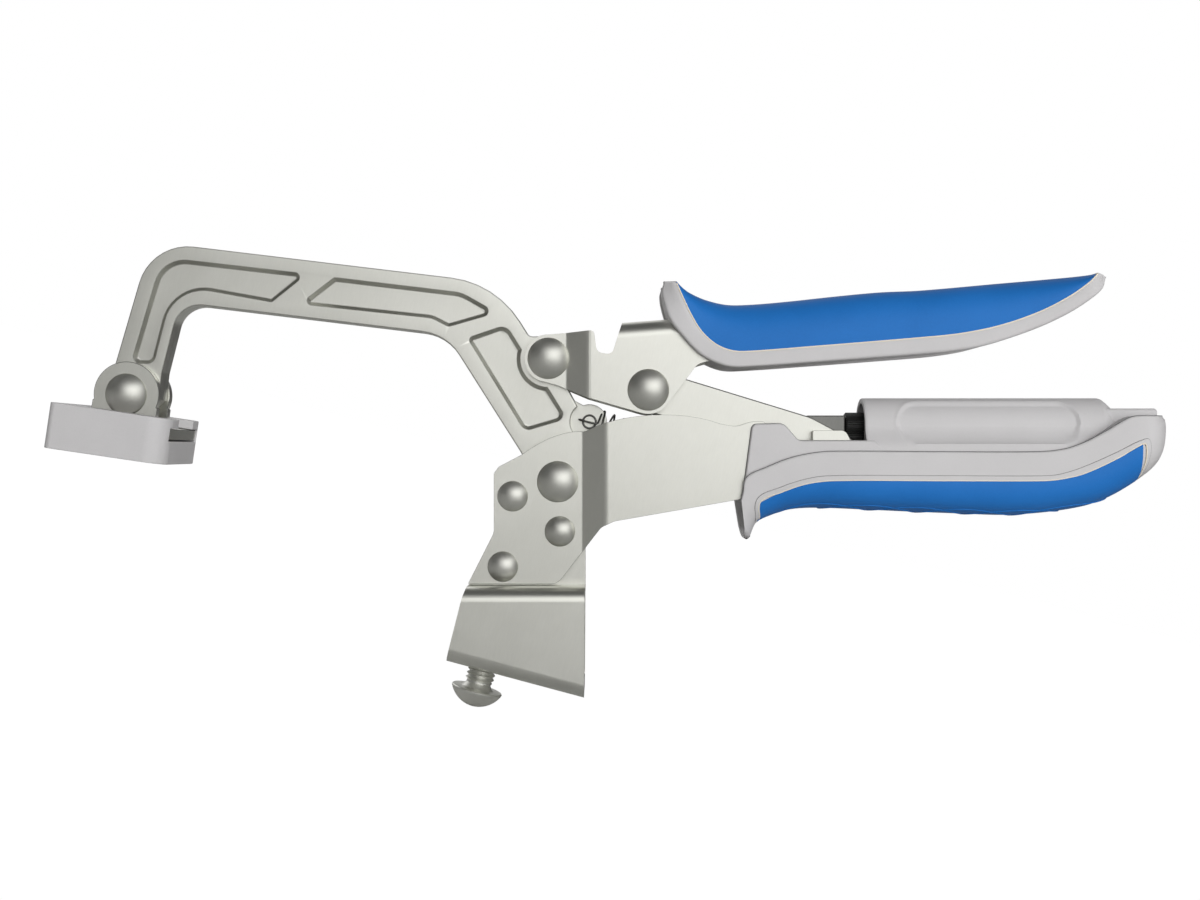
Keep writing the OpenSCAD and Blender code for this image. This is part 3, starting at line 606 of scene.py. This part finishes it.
spring_path = []
for k in range(31):
    a = math.radians(170 - 12 * k)
    spring_path.append(lean(LUG[0] + RING_R * math.cos(a), -1.8 - 0.01 * k, LUG[1] + RING_R * math.sin(a)))
for x, y, z in ((-2.4, -2.2, 0.6), (-2.8, -2.4, 0.6), (-2.5, -2.65, 0.5), (-1.0, -2.7, 0.1),
                (0.8, -2.7, -0.35), (1.9, -2.6, -0.6), (2.5, -2.4, -0.2), (2.9, -2.1, 0.8),
                (3.3, -1.6, 1.9), (3.8, -0.8, 2.7)):
    spring_path.append(lean(LUG[0] + x, y, LUG[1] + z))
for k in range(COILS * COIL_STEPS + 1):
    a = math.tau * k / COIL_STEPS
    along = FIRST_COIL + coil_pitch * k / COIL_STEPS
    spring_path.append(on_spring(along, -COIL_R * math.sin(a), COIL_R * math.cos(a)))
for k in range(21):
    a = math.radians(140 - 14 * k)
    spring_path.append(on_spring(span + EYE_R * math.cos(a), 0, EYE_R * math.sin(a)))
spring = wire_along("tension_spring", [spring_path], SPRING_WIRE, wire_steel, None)
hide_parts("return_spring")
tuple(lean(ANCHOR[0], 0, ANCHOR[1]))
tuple(lean(LUG[0], 0, LUG[1]))
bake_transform(spring)
pin_line = [(*p, 0) for p in circle_line(LUG, LUG_BORE - 0.04, 32)]
slab("arm_spring_pin", pin_line, LUG_HALF + 0.12, 0.15, nickel, "arm", 40)


# Knob: black-oxided steel, turned, with a straight knurl rolled round it. The screw behind it runs in the
# housing nut. One tooth is set round the barrel as often as the knurl has teeth.
black_finish = Finish("black oxide", 0.55)
black_cloud = black_finish.place.noise(160, 4)
black = black_finish.close(
    black_cloud.tint((0.018, 0.018, 0.018), (0.035, 0.035, 0.034)), black_cloud * 0.12 + 0.34,
    black_finish.place.noise(1800, 3), 0.00002, 0.3)
KNOB_X, KNOB_R, SCREW_Z, TEETH = 92.3, 3.9, 69.2, 36
TOOTH_ROOT, TOOTH_FLAT = 3.45, 0.2
axis_turn = Matrix.Rotation(-RAKE, 4, "Y") @ Matrix.Rotation(math.pi / 2, 4, "Y")


def on_axis(x):
    """Sets a body turned about Z on the screw's axis, starting at x."""
    return Matrix.Translation(lean(x, 0, SCREW_Z)) @ axis_turn


barrel = turned([
    (0, -1.1), (2.9, -1.1), (3.2, -1.0), (3.5, -0.75), (3.62, -0.5), (3.62, 4.75), (3.3, 5.1), (0, 5.1)])
barrel.transform(on_axis(KNOB_X))
settle("knob_barrel", barrel, black, "knob", ("knurled_knob",), smooth=30)
tooth = bmesh.new()
half_pitch = math.pi * 3.7 / TEETH
rings = []
for z, drop in ((-0.85, 0.4), (-0.5, 0.0), (4.48, 0.0), (4.8, 0.4)):
    corners = ((TOOTH_ROOT, -half_pitch, z), (KNOB_R - drop, -half_pitch * TOOTH_FLAT, z),
               (KNOB_R - drop, half_pitch * TOOTH_FLAT, z), (TOOTH_ROOT, half_pitch, z))
    rings.append([tooth.verts.new(Vector(corner) * MM) for corner in corners])
for low, high in zip(rings, rings[1:]):
    join(tooth, low, high)
tooth.faces.new(rings[0])
tooth.faces.new(rings[-1])
tooth_source = bpy.data.objects.new("knurl tooth", finished(tooth))
recipe = Recipe("knob_knurl", teeth=TEETH, step=math.tau / TEETH)
dots = recipe.shape.make("GeometryNodeMeshLine", {"mode": "OFFSET"}, {
    "Count": recipe.number("teeth"), "Offset": (0, 0, 0)})
angle = dots.make("GeometryNodeInputIndex") * recipe.number("step")
spin = angle.make("ShaderNodeCombineXYZ", (), {"Z": angle})
source = dots.make("GeometryNodeObjectInfo", (), {"Object": tooth_source}, "Geometry")
teeth = dots.make("GeometryNodeInstanceOnPoints", (), {"Points": dots, "Instance": source, "Rotation": spin})
knurl = recipe.done(teeth, black, 20)
bpy.data.objects.remove(tooth_source)
knurl.data.transform(on_axis(KNOB_X))
freeze(knurl, "knob")
core = turned([(0, 0), (2.0, 0), (2.0, 49.5), (1.7, 50), (0, 50)], 32)
core.transform(on_axis(97.4))
settle("adjusting_screw_core", core, black, "knob", ("adjusting_screw",))
wound_thread("adjusting_screw_thread", on_axis(98), black, "knob",
             core=1.98, crown=2.5, pitch=0.8, turns=60, lead_in=0.8)


# Upper grip: a two-shot moulding over the handle channel. The grey shot is the boat-shaped rim, the blue is
# the crown. Each is lofted between lines of the side view: the bottom, the colour line and the crown.
def through(points, count):
    """A smooth line through the points, resampled at equal steps."""
    line = []
    knots = [Vector(p) for p in points]
    for k in range(len(knots) - 1):
        a, b = knots[k], knots[k + 1]
        before = knots[k - 1] if k else a * 2 - b
        after = knots[k + 2] if k + 2 < len(knots) else b * 2 - a
        reach = (b - a).length
        into = (b - before) / max(1e-6, (b - before).length) * reach
        out = (after - a) / max(1e-6, (after - a).length) * reach
        for j in range(16):
            u = j / 16
            line.append(a * (2 * u ** 3 - 3 * u ** 2 + 1) + into * (u ** 3 - 2 * u ** 2 + u)
                        + b * (3 * u ** 2 - 2 * u ** 3) + out * (u ** 3 - u ** 2))
    line.append(knots[-1])
    return even(line, count)


def even(line, count):
    lengths = [0.0]
    for a, b in zip(line, line[1:]):
        lengths.append(lengths[-1] + (b - a).length)
    result = []
    k = 0
    for j in range(count):
        want = lengths[-1] * j / (count - 1)
        while k < len(line) - 2 and lengths[k + 1] < want:
            k += 1
        share = (want - lengths[k]) / max(1e-9, lengths[k + 1] - lengths[k])
        result.append(line[k].lerp(line[k + 1], min(1, share)))
    return result


def skin(rings, ease=0.0):
    """A closed loft through rings of (x, y, z) points, whose ends are rounded by ease."""
    def end_rings(ring, neighbour):
        centre = sum(ring, Vector()) / len(ring)
        out = (centre - sum(neighbour, Vector()) / len(neighbour)).normalized()
        size = max((p - centre).length for p in ring)
        steps = []
        for angle in (30, 60, 90):
            a = math.radians(angle)
            shrink = 1 - ease * (1 - math.cos(a)) / size
            steps.append([centre + (p - centre) * shrink + out * ease * math.sin(a) for p in ring])
        return steps
    rings = [[Vector(p) for p in ring] for ring in rings]
    if ease:
        rings = end_rings(rings[0], rings[1])[::-1] + rings + end_rings(rings[-1], rings[-2])
    work = bmesh.new()
    made = [[work.verts.new(lean(*p)) for p in ring] for ring in rings]
    for low, high in zip(made, made[1:]):
        join(work, low, high)
    for ring in (made[0], made[-1]):
        fill(work, ring)
    bmesh.ops.remove_doubles(work, verts=work.verts, dist=1e-7)
    bmesh.ops.dissolve_degenerate(work, dist=1e-7, edges=work.edges)
    return finished(work)


def moulded(name, light, dark, rough, pits, shine=0.42):
    """Moulded soft plastic: nearly even colour, a fine spark-eroded grain, and faint flow clouds."""
    finish = Finish(name)
    cloud = finish.place.noise(45, 4, 0.55)
    grain = finish.place.noise(2100, 3, 0.6)
    fine = finish.place.noise(5200, 2, 0.5)
    colour = (cloud * 0.7 + grain * 0.3).band(0.3, 0.7).tint(dark, light)
    feed(finish.shader.inputs["Specular IOR Level"], shine)
    return finish.close(colour, grain * 0.10 + cloud * 0.06 + rough, grain * 0.7 + fine * 0.3, 0.00003, pits)


grey_shot = moulded("grey moulded shot", (0.585, 0.575, 0.58), (0.55, 0.54, 0.545), 0.46, 0.35)
blue_shot = moulded("blue moulded shot", (0.016, 0.170, 0.54), (0.012, 0.148, 0.48), 0.44, 0.35, 0.25)
# A pale cream bead along the colour line of each grip: a painted highlight.
painted_highlight_line = moulded("pale flash line", (0.86, 0.78, 0.63), (0.80, 0.72, 0.58), 0.5, 0.2)

GRIP_HALF, GRIP_CORNER, GRIP_FRONT, GRIP_REAR = 12.15, 5.0, 39.5, 162.5
CROWN_STEPS, CROWN_POWER = 14, 0.78
STATIONS = 150
upper_bottom = through([
    (40.5, 108.3), (40, 106.5), (40.4, 103.3), (42, 98.4), (45.2, 94), (49.5, 89.4), (53.4, 86.9),
    (58.3, 85.3), (64, 85.3), (80, 86.4), (110.4, 88.7), (118, 89.4), (125.4, 90.5), (131.9, 92.2),
    (142.6, 96), (150.8, 99.9), (156.7, 103.7), (160.4, 106.9), (161.5, 109.6)], STATIONS)
upper_colour = through([
    (44, 107.9), (45.4, 104.7), (48.2, 98.9), (51, 94.6), (55, 91.2), (59.4, 89.6), (64, 89.5),
    (80, 90.7), (110.4, 93.2), (121.1, 94.3), (131.9, 96.5), (142.6, 100.2), (150.8, 104.4),
    (156.2, 108.2), (158.6, 110.6)], STATIONS)
upper_crown = through([
    (44.3, 108.8), (46, 107.4), (48.1, 106.1), (52.6, 104.3), (58.2, 103.1), (64, 103.1), (74.1, 103.9),
    (90, 105.6), (101.1, 106.6), (112.2, 107.1), (135, 109.1), (159.3, 111.1)], STATIONS)


def plan_half(x, front=GRIP_FRONT, rear=GRIP_REAR):
    """Half width of a grip seen from above: straight, with its corners rounded towards both ends."""
    gap = max(0.0, min(GRIP_CORNER, x - front, rear - x))
    return GRIP_HALF - GRIP_CORNER + math.sqrt(GRIP_CORNER ** 2 - (GRIP_CORNER - gap) ** 2)


def crown_row(edge, crown, half, lower=0.0):
    """Half of a crown section, from one side's colour line to the middle, lowered by a share."""
    row = []
    for k in range(CROWN_STEPS + 1):
        theta = math.pi / 2 * k / CROWN_STEPS
        across = abs(math.cos(theta)) ** CROWN_POWER
        spot = edge.lerp(crown, abs(math.sin(theta)) ** CROWN_POWER * (1 - lower))
        row.append((spot.x, across * half, spot.y))
    return row


def mirrored(row):
    return [(x, -y, z) for x, y, z in reversed(row)]


def shell_ring(outside, inside):
    """A section of a shell from half of its outer row and half of its inner row."""
    return outside + mirrored(outside)[1:] + [(x, -y, z) for x, y, z in inside] + inside[::-1][1:]


blue_rings = []
grey_rings = []
for bottom, edge, crown in zip(upper_bottom, upper_colour, upper_crown):
    half = plan_half(edge.x)
    low_half = plan_half(bottom.x, GRIP_FRONT - 0.5, GRIP_REAR - 0.1)
    blue_rings.append(shell_ring(crown_row(edge, crown, half - 0.28),
                                 crown_row(edge, crown, half - 1.68, 0.12)))
    band = edge - bottom
    depth = band.length
    band.normalize()
    side = []
    for share, fall in ((0.0, 0.42), (0.10, 0.20), (0.25, 0.06), (0.5, 0.0)):
        spot = edge - band * depth * share
        side.append((spot.x, half + (low_half - half) * share - fall, spot.y))
    for up, fall in ((0.9, 0.0), (0.45, 0.11), (0.13, 0.45), (0.0, 0.9), (0.0, 3.4), (0.5, 3.8),
                     (0.55, low_half)):
        spot = bottom + band * up
        side.append((spot.x, low_half - fall, spot.y))
    inner = crown_row(edge, crown, half - 1.32, 0.07)
    grey_rings.append(inner[:0:-1] + side + mirrored(side)[1:] + mirrored(inner)[:1:-1])
settle("upper_grip_crown", skin(blue_rings, 0.3), blue_shot, "upper_handle", ("upper_grip_inlay",), 40)
settle("upper_grip_rim", skin(grey_rings, 0.5), grey_shot, "upper_handle", ("upper_grip",), 40)
# A thin pale wire along the colour line on each side: a painted highlight.
line = [lean(p.x, -plan_half(p.x) + 0.38, p.y) for p in upper_colour]
line += [lean(p.x, plan_half(p.x) - 0.38, p.y) for p in reversed(upper_colour)]
wire_along("upper_grip_flash", [line], 0.2, painted_highlight_line, "upper_handle", 8, True)


# Lower grip: the same two shots. The grey shot has a swollen palm, thin apron walls outside the body plates,
# and the round adjuster housing with a bare oval field on each side. The blue shot is let into the palm.
palm_bottom = through([
    (63, 38.2), (63.8, 37.75), (64.6, 38.1), (65.4, 40.2), (66.6, 42.5), (70.5, 44.4), (75.6, 46),
    (82.8, 46.5), (96.7, 46), (110, 45.4), (123.1, 44.9), (135, 44.5), (144.3, 45), (153.1, 46.1),
    (159.7, 47.6), (166.3, 50.5), (174.3, 55.7), (177.9, 59.2), (179.8, 63.2), (180.4, 67.6),
    (180.3, 70.4), (179.9, 71.5)], STATIONS + 30)
palm_seam = through([
    (61.5, 49.3), (62, 51), (62.9, 55.2), (68.2, 57.9), (74.5, 60.4), (80.7, 61.8), (86, 62.3),
    (115, 62.2), (142.5, 62.2), (149.3, 62.9), (154.6, 64.6), (161, 67.9), (164.5, 70), (168.2, 71.8),
    (174, 72), (179.4, 72)], STATIONS + 30)
frame_line = through([
    (65.8, 43), (65.9, 49.3), (72.3, 52.5), (79.1, 54.7), (85.6, 55.6), (115, 55.6), (144.9, 55.6),
    (149, 56.2), (154.6, 58), (163.1, 61.7), (170.2, 65.2), (172.7, 65.3), (172.9, 60), (171.8, 55.4)], 240)
inlay_line = through([
    (66.9, 48.3), (72.4, 51), (79.2, 53.3), (86.6, 54.2), (115, 54.2), (143.6, 54.2), (148.8, 54.7),
    (154.9, 56.2), (163.5, 60.1), (170.7, 64)], STATIONS)
inlay_bottom = even([p for p in palm_bottom if 66.3 < p.x < 171.6 and p.y < 58], STATIONS)
PALM_HALF, PALM_ROUND, PALM_POWER = 11.9, 9.5, 2.5
REAR_START, REAR_LENGTH, REAR_POWER = 172, 12, 2.4
palm_outline = palm_bottom[:-1:2] + [palm_bottom[-1], palm_seam[-1]]


def palm_depth(x, z):
    """How far a point of the side view lies inside the palm's bottom outline."""
    spot = Vector((x, z))
    best = 1e9
    for a, b in zip(palm_outline, palm_outline[1:]):
        way = b - a
        share = max(0, min(1, (spot - a).dot(way) / max(1e-9, way.length_squared)))
        best = min(best, (spot - a - way * share).length)
    return best


def palm_curve(share):
    """The palm's rounding: 1 on its side, where the share is 0, and 0 at the bottom, where it is 1."""
    return (1 - share ** PALM_POWER) ** (1 / PALM_POWER)


def palm_half(x, z, proud=0.0):
    """Half width of the palm at a point of the side view: round at its bottom and rear, straight above."""
    share = 1 - min(1.0, palm_depth(x, z) / PALM_ROUND)
    rear = max(0.0, min(1.0, (x - REAR_START) / REAR_LENGTH)) ** REAR_POWER
    return PALM_HALF * palm_curve(share) * math.sqrt(1 - rear) + proud


def palm_rows(top, bottom, count, proud=0.0):
    """Half of a palm section, from a point of its side down to the middle of its bottom."""
    row = []
    for k in range(count + 1):
        spot = top.lerp(bottom, math.sin(math.pi / 2 * k / count))
        row.append((spot.x, 0.0 if k == count else palm_half(spot.x, spot.y, proud), spot.y))
    return row


palm_rings = []
for seam, bottom in zip(palm_seam[:-2], palm_bottom[:-2]):
    way = (bottom - seam).normalized()
    half = palm_half(seam.x, seam.y)
    reach = (bottom - seam).length
    rows = [(seam.x, max(0.0, half - inset), seam.y) for inset in (half, 1.25, 0.5)]
    for drop, fall in ((0.16, 0.28), (0.45, 0.06)):
        spot = seam + way * min(drop, reach * drop)
        rows.append((spot.x, max(0.0, palm_half(spot.x, spot.y) - fall), spot.y))
    rows += palm_rows(seam + way * min(0.8, reach * 0.6), bottom, 22)
    palm_rings.append(rows + mirrored(rows)[1:-1])


def hollowed(ring, share, depth):
    """The ring drawn in towards its middle and moved into the grip, further at its top than at its bottom."""
    middle = sum((Vector(p) for p in ring), Vector()) / len(ring)
    low = min(p[2] for p in ring)
    high = max(p[2] for p in ring)
    drawn = []
    for p in ring:
        rise = (p[2] - low) / (high - low)
        drawn.append(middle + (Vector(p) - middle) * share + Vector((depth * (0.3 + 0.7 * rise), 0, 0)))
    return drawn


mouth_steps = ((0.5, 4.2), (0.78, 3.8), (0.85, 0.4), (0.88, 0.02))
mouth = [hollowed(palm_rings[0], share, depth) for share, depth in mouth_steps]
settle("lower_grip_palm", skin(mouth + palm_rings), grey_shot, "body", ("lower_grip",), 40)

blue_rings = []
for edge, bottom in zip(inlay_line, inlay_bottom):
    outside = palm_rows(edge, bottom, 34, 0.16)
    inside = [(x, y * 0.86, z + 1.2) for x, y, z in outside]
    blue_rings.append(shell_ring(outside, inside))
settle("lower_grip_inlay_skin", skin(blue_rings, 0.2), blue_shot, "body", ("lower_grip_inlay",), 40)


inner_frame = through([
    (67, 43.6), (66.8, 48.5), (72.4, 51.1), (79.2, 53.4), (86.6, 54.3), (115, 54.3), (143.6, 54.3),
    (148.8, 54.8), (154.9, 56.3), (163.5, 60.2), (170.5, 64.2), (171.6, 64.2), (171.9, 59.5),
    (171, 55.4)], 240)
FRAME_PROUD = 0.3
frame_rises = ((0, -0.8), (0, FRAME_PROUD - 0.1), (0.08, FRAME_PROUD), (0.92, FRAME_PROUD),
               (1, FRAME_PROUD - 0.1), (1, -0.8))
for side, word in ((-1, "near"), (1, "far")):
    rings = []
    for outer, inner in zip(frame_line, inner_frame):
        spots = [(outer.lerp(inner, share), rise) for share, rise in frame_rises]
        rings.append([(spot.x, side * palm_half(spot.x, spot.y, rise), spot.y) for spot, rise in spots])
    settle(f"lower_grip_frame_{word}", skin(rings), grey_shot, "body", smooth=40)
# Thin pale wires along the inlay's edge: a painted highlight.
highlight_lines = [[lean(p.x, side * palm_half(p.x, p.y, 0.18), p.y) for p in inner_frame] for side in (-1, 1)]
wire_along("lower_grip_flash", highlight_lines, 0.17, painted_highlight_line, "body", 8)
# Dark wires along the frame and the palm seam: painted shadow lines.
seam_shadow_grey = moulded("seam between the mouldings", (0.20, 0.20, 0.20), (0.15, 0.15, 0.15), 0.6, 0.1)
seams = [[lean(p.x, side * palm_half(p.x, p.y, 0.02), p.y) for p in frame_line] for side in (-1, 1)]
for side in (-1, 1):
    seams.append([lean(p.x, side * max(0.2, palm_half(p.x, p.y, -0.35)), p.y) for p in palm_seam])
wire_along("lower_grip_seams", seams, 0.11, seam_shadow_grey, "body", 6)


# Grip pattern: interlaced ovals of wire, raised a little from the underside of the lower inlay.
OVAL_START, OVAL_REACH, OVAL_STEP, OVAL_HALF, OVAL_COUNT = 84, 13.4, 13.4, 7.8, 6


def under_palm(x, y):
    """The point of the palm's underside at a place along and across."""
    after = next(k for k, p in enumerate(palm_bottom) if p.x >= x and k > 20)
    a, b = palm_bottom[after - 1], palm_bottom[after]
    low = a.lerp(b, (x - a.x) / max(1e-6, b.x - a.x)).y
    return lean(x, y, low + PALM_ROUND * (1 - palm_curve(abs(y) / PALM_HALF)) - 0.02)


turns = [math.tau * j / 72 for j in range(72)]
oval = [(OVAL_REACH * math.cos(a), OVAL_HALF * math.sin(a)) for a in turns]
ovals = [[under_palm(OVAL_START + OVAL_STEP * k + x, y) for x, y in oval] for k in range(OVAL_COUNT)]
wire_along("lower_grip_ovals", ovals, 0.24, blue_shot, "body", 8, True)


# Apron walls: about 1.2 mm thick, outside the body plates, rounded outwards, with a painted shadow line round
# them.
apron = [(61.8, 50.2), (62.7, 55.2), (64.6, 69.7, 1.5), (73.2, 69.9, 3), (77.2, 65.2, 2), (98, 65.2),
         (104, 60), (80, 55)]
for side, word in ((-1, "near"), (1, "far")):
    wall = bmesh.new()
    loops = []
    for y, inset in ((9.56, 0), (10.2, 0), (10.55, 0.1), (10.75, 0.32), (10.8, 0.6)):
        loops.append(loop_at(wall, rounded(apron, inset), side * y))
    for one, two in zip(loops, loops[1:]):
        join(wall, one, two)
    fill(wall, loops[0])
    fill(wall, loops[-1])
    settle(f"lower_grip_apron_{word}", finished(wall), grey_shot, "body")
# A dark wire round each apron: a painted shadow line.
shadow_lines = [[lean(p[0], side * 9.66, p[1]) for p in rounded(apron)] for side in (-1, 1)]
wire_along("lower_grip_apron_seams", shadow_lines, 0.15, seam_shadow_grey, "body", 6, True)


# Adjuster housing: round on top and straight below, lofted along the screw's axis from its open mouth. A bare
# oval field is sunk into each side, and the rear shrinks towards a square tail.
TUBE_R, TUBE_START, TUBE_END, MOUTH_R, BORE_R = 7.9, 95.9, 161.8, 6.4, 4.6
HOUSING_FOOT, HOUSING_STEPS = 10.82, 150
OVAL = (104.8, 154.8, 70.2, 5.45)
FIELD_DEPTH, FIELD_EDGE, FIELD_RIM, RIM_HALF = 0.5, 0.55, 0.22, 0.4


def housing_row(radius, drop=0.0):
    """Half of a housing section as (y, z): a flared foot, a straight side and a quarter round on top."""
    foot = [(0, 60.8), (0, 62.6), (0.06, 63.3), (0.35, 64.2), (0.95, 65.3), (1.75, 66.5)]
    row = [(HOUSING_FOOT - inset, z) for inset, z in foot] + [(8.35, 67.7), (7.98, 68.7)]
    row = [(y * min(1, radius / TUBE_R + 0.08), z) for y, z in row]
    for k in range(37):
        a = math.pi * k / 72
        row.append((radius * math.cos(a), SCREW_Z - drop + radius * math.sin(a)))
    return row


def oval_field(x, z):
    """Depth of the bare oval field at a point of the housing's side."""
    low, high, middle, radius = OVAL
    along = max(low + radius, min(high - radius, x))
    inside = radius - math.hypot(x - along, z - middle)
    if inside > 0:
        return FIELD_DEPTH * min(1, inside / FIELD_EDGE)
    return -FIELD_RIM * max(0.0, 1 - abs(inside + RIM_HALF) / RIM_HALF)


def housing_ring(x, radius=TUBE_R, drop=0.0, shrink=0.0):
    """A whole housing section, drawn in by shrink, and by the oval field's depth where it runs."""
    side = []
    row = housing_row(radius, drop)
    for k, (y, z) in enumerate(row):
        ahead = Vector(row[min(len(row) - 1, k + 1)])
        behind = Vector(row[max(0, k - 1)])
        way = (ahead - behind).normalized()
        normal = Vector((way.y, -way.x))
        deep = shrink + (oval_field(x, z) if radius == TUBE_R else 0)
        side.append((x, max(0.0, y - normal.x * deep), z - normal.y * deep))
    return side + mirrored(side)[1:-1] + [(x, -side[0][1], side[0][2])]


def round_ring(x, radius):
    angles = [math.atan2(z - SCREW_Z, y) for _, y, z in housing_ring(x)]
    return [(x, radius * math.cos(a), SCREW_Z + radius * math.sin(a)) for a in angles]


housing = [round_ring(x, radius) for x, radius in (
    (120, BORE_R), (102, BORE_R), (102, MOUTH_R), (96.2, MOUTH_R), (95.95, MOUTH_R + 0.25))]
housing += [housing_ring(TUBE_START, shrink=0.5), housing_ring(TUBE_START + 0.14, shrink=0.16)]
tube_start = TUBE_START + 0.5
for k in range(HOUSING_STEPS + 1):
    housing.append(housing_ring(tube_start + (TUBE_END - tube_start) * k / HOUSING_STEPS))
housing += [housing_ring(TUBE_END + x, TUBE_R - r, r * 0.9) for x, r in (
    (0.8, 0.12), (2.0, 0.6), (3.2, 1.2), (4.6, 1.9), (6.2, 2.7), (8, 3.6))]
settle("adjuster_housing", skin(housing), grey_shot, "body", smooth=38)
tail = [(160, 66), (160, 74.1), (176.9, 74.1, 1), (177, 66, 1)]
slab("lower_grip_tail", tail, 6.5, 0.9, grey_shot, "body", 38)


# Pad cover: a moulded block slid on the steel foot, open at its end towards the clamp.
pad_shot = moulded("moulded pad plastic", (0.59, 0.58, 0.585), (0.55, 0.54, 0.545), 0.5, 0.45)
broken_edges("pad_cover", "pad", pad_shot, 0.22, 3)


# Stage: a pale floor under the bolt head and a white room. The steel mirrors a soft window of light on each
# side of the clamp, and a large lamp beside each window lights the mouldings.
FLOOR_HALF, FLOOR_Z = 3, -0.0121
LAMP_SIZE, LAMP_AIM = (1.0, 0.8), Vector((0, 0, 0.06))
corners = [(x * FLOOR_HALF, y * FLOOR_HALF, FLOOR_Z) for x, y in ((-1, -1), (1, -1), (1, 1), (-1, 1))]
floor_mesh = bpy.data.meshes.new("studio floor")
floor_mesh.from_pydata(corners, [], [(0, 1, 2, 3)])
floor = placed("studio_floor", floor_mesh)
floor_finish = Finish("pale studio floor")
floor_mesh.materials.append(floor_finish.close(
    floor_finish.place.noise(3, 2).tint((0.48, 0.48, 0.47), (0.52, 0.52, 0.51)), 0.7))
boards = floor_mesh.materials[0].node_tree
shown = Wire(boards, None)
white = shown.make("ShaderNodeEmission", (), {"Color": (1, 1, 1, 1), "Strength": 1.066})
matt = boards.nodes["Material Output"].inputs[0].links[0].from_socket
seen = shown.make("ShaderNodeLightPath", (), (), "Is Camera Ray") * 0.93
veil = shown.make("ShaderNodeMixShader", (), {0: seen, 2: white})
boards.links.new(matt, veil.socket.node.inputs[1])
feed(boards.nodes["Material Output"].inputs[0], veil)

world = bpy.data.worlds.new("studio")
bpy.context.scene.world = world
world.use_nodes = True
sky = world.node_tree
way = Wire(sky, None).make("ShaderNodeTexCoord", (), (), "Generated")


def window(side, sill, head):
    """A soft window of light on one side of the clamp, brightest to its right, between two heights."""
    across = (way.part(0) * ACROSS.x + way.part(2) * ACROSS.z) * side
    up = way.part(0) * UPRIGHT.x + way.part(2) * UPRIGHT.z
    wide = across.band(-0.53, 0.21) * (1.0 - across.band(0.6, 1.0)) * (way.part(1) * -side).band(0.0, 0.4)
    return wide * up.band(*sill) * (1.0 - up.band(*head))


front = window(1, (-0.55, 0.20), (0.50, 0.80))
behind = window(-1, (0.10, 0.45), (0.70, 0.95))
room = (front + behind * 0.6).tint((0.08, 0.08, 0.08), (1.77, 1.77, 1.77))
seen = room.make("ShaderNodeLightPath", (), (), "Is Camera Ray")
backdrop = room.make("ShaderNodeMix", {"data_type": "RGBA"}, {0: seen, 6: room, 7: (1, 1, 1, 1)}, 2)
feed(sky.nodes["Background"].inputs["Color"], backdrop)


def soft_light(name, place, power):
    lamp = bpy.data.lights.new(name, "AREA")
    lamp.shape = "RECTANGLE"
    lamp.size, lamp.size_y = LAMP_SIZE
    lamp.energy = power
    stand = placed(name, lamp)
    stand.location = place
    stand.rotation_euler = (LAMP_AIM - place).to_track_quat("-Z", "Y").to_euler()
    stand.visible_glossy = False


soft_light("key light", lean(350, -850, 40), 6.4)
soft_light("back light", lean(-350, 850, 160), 5)
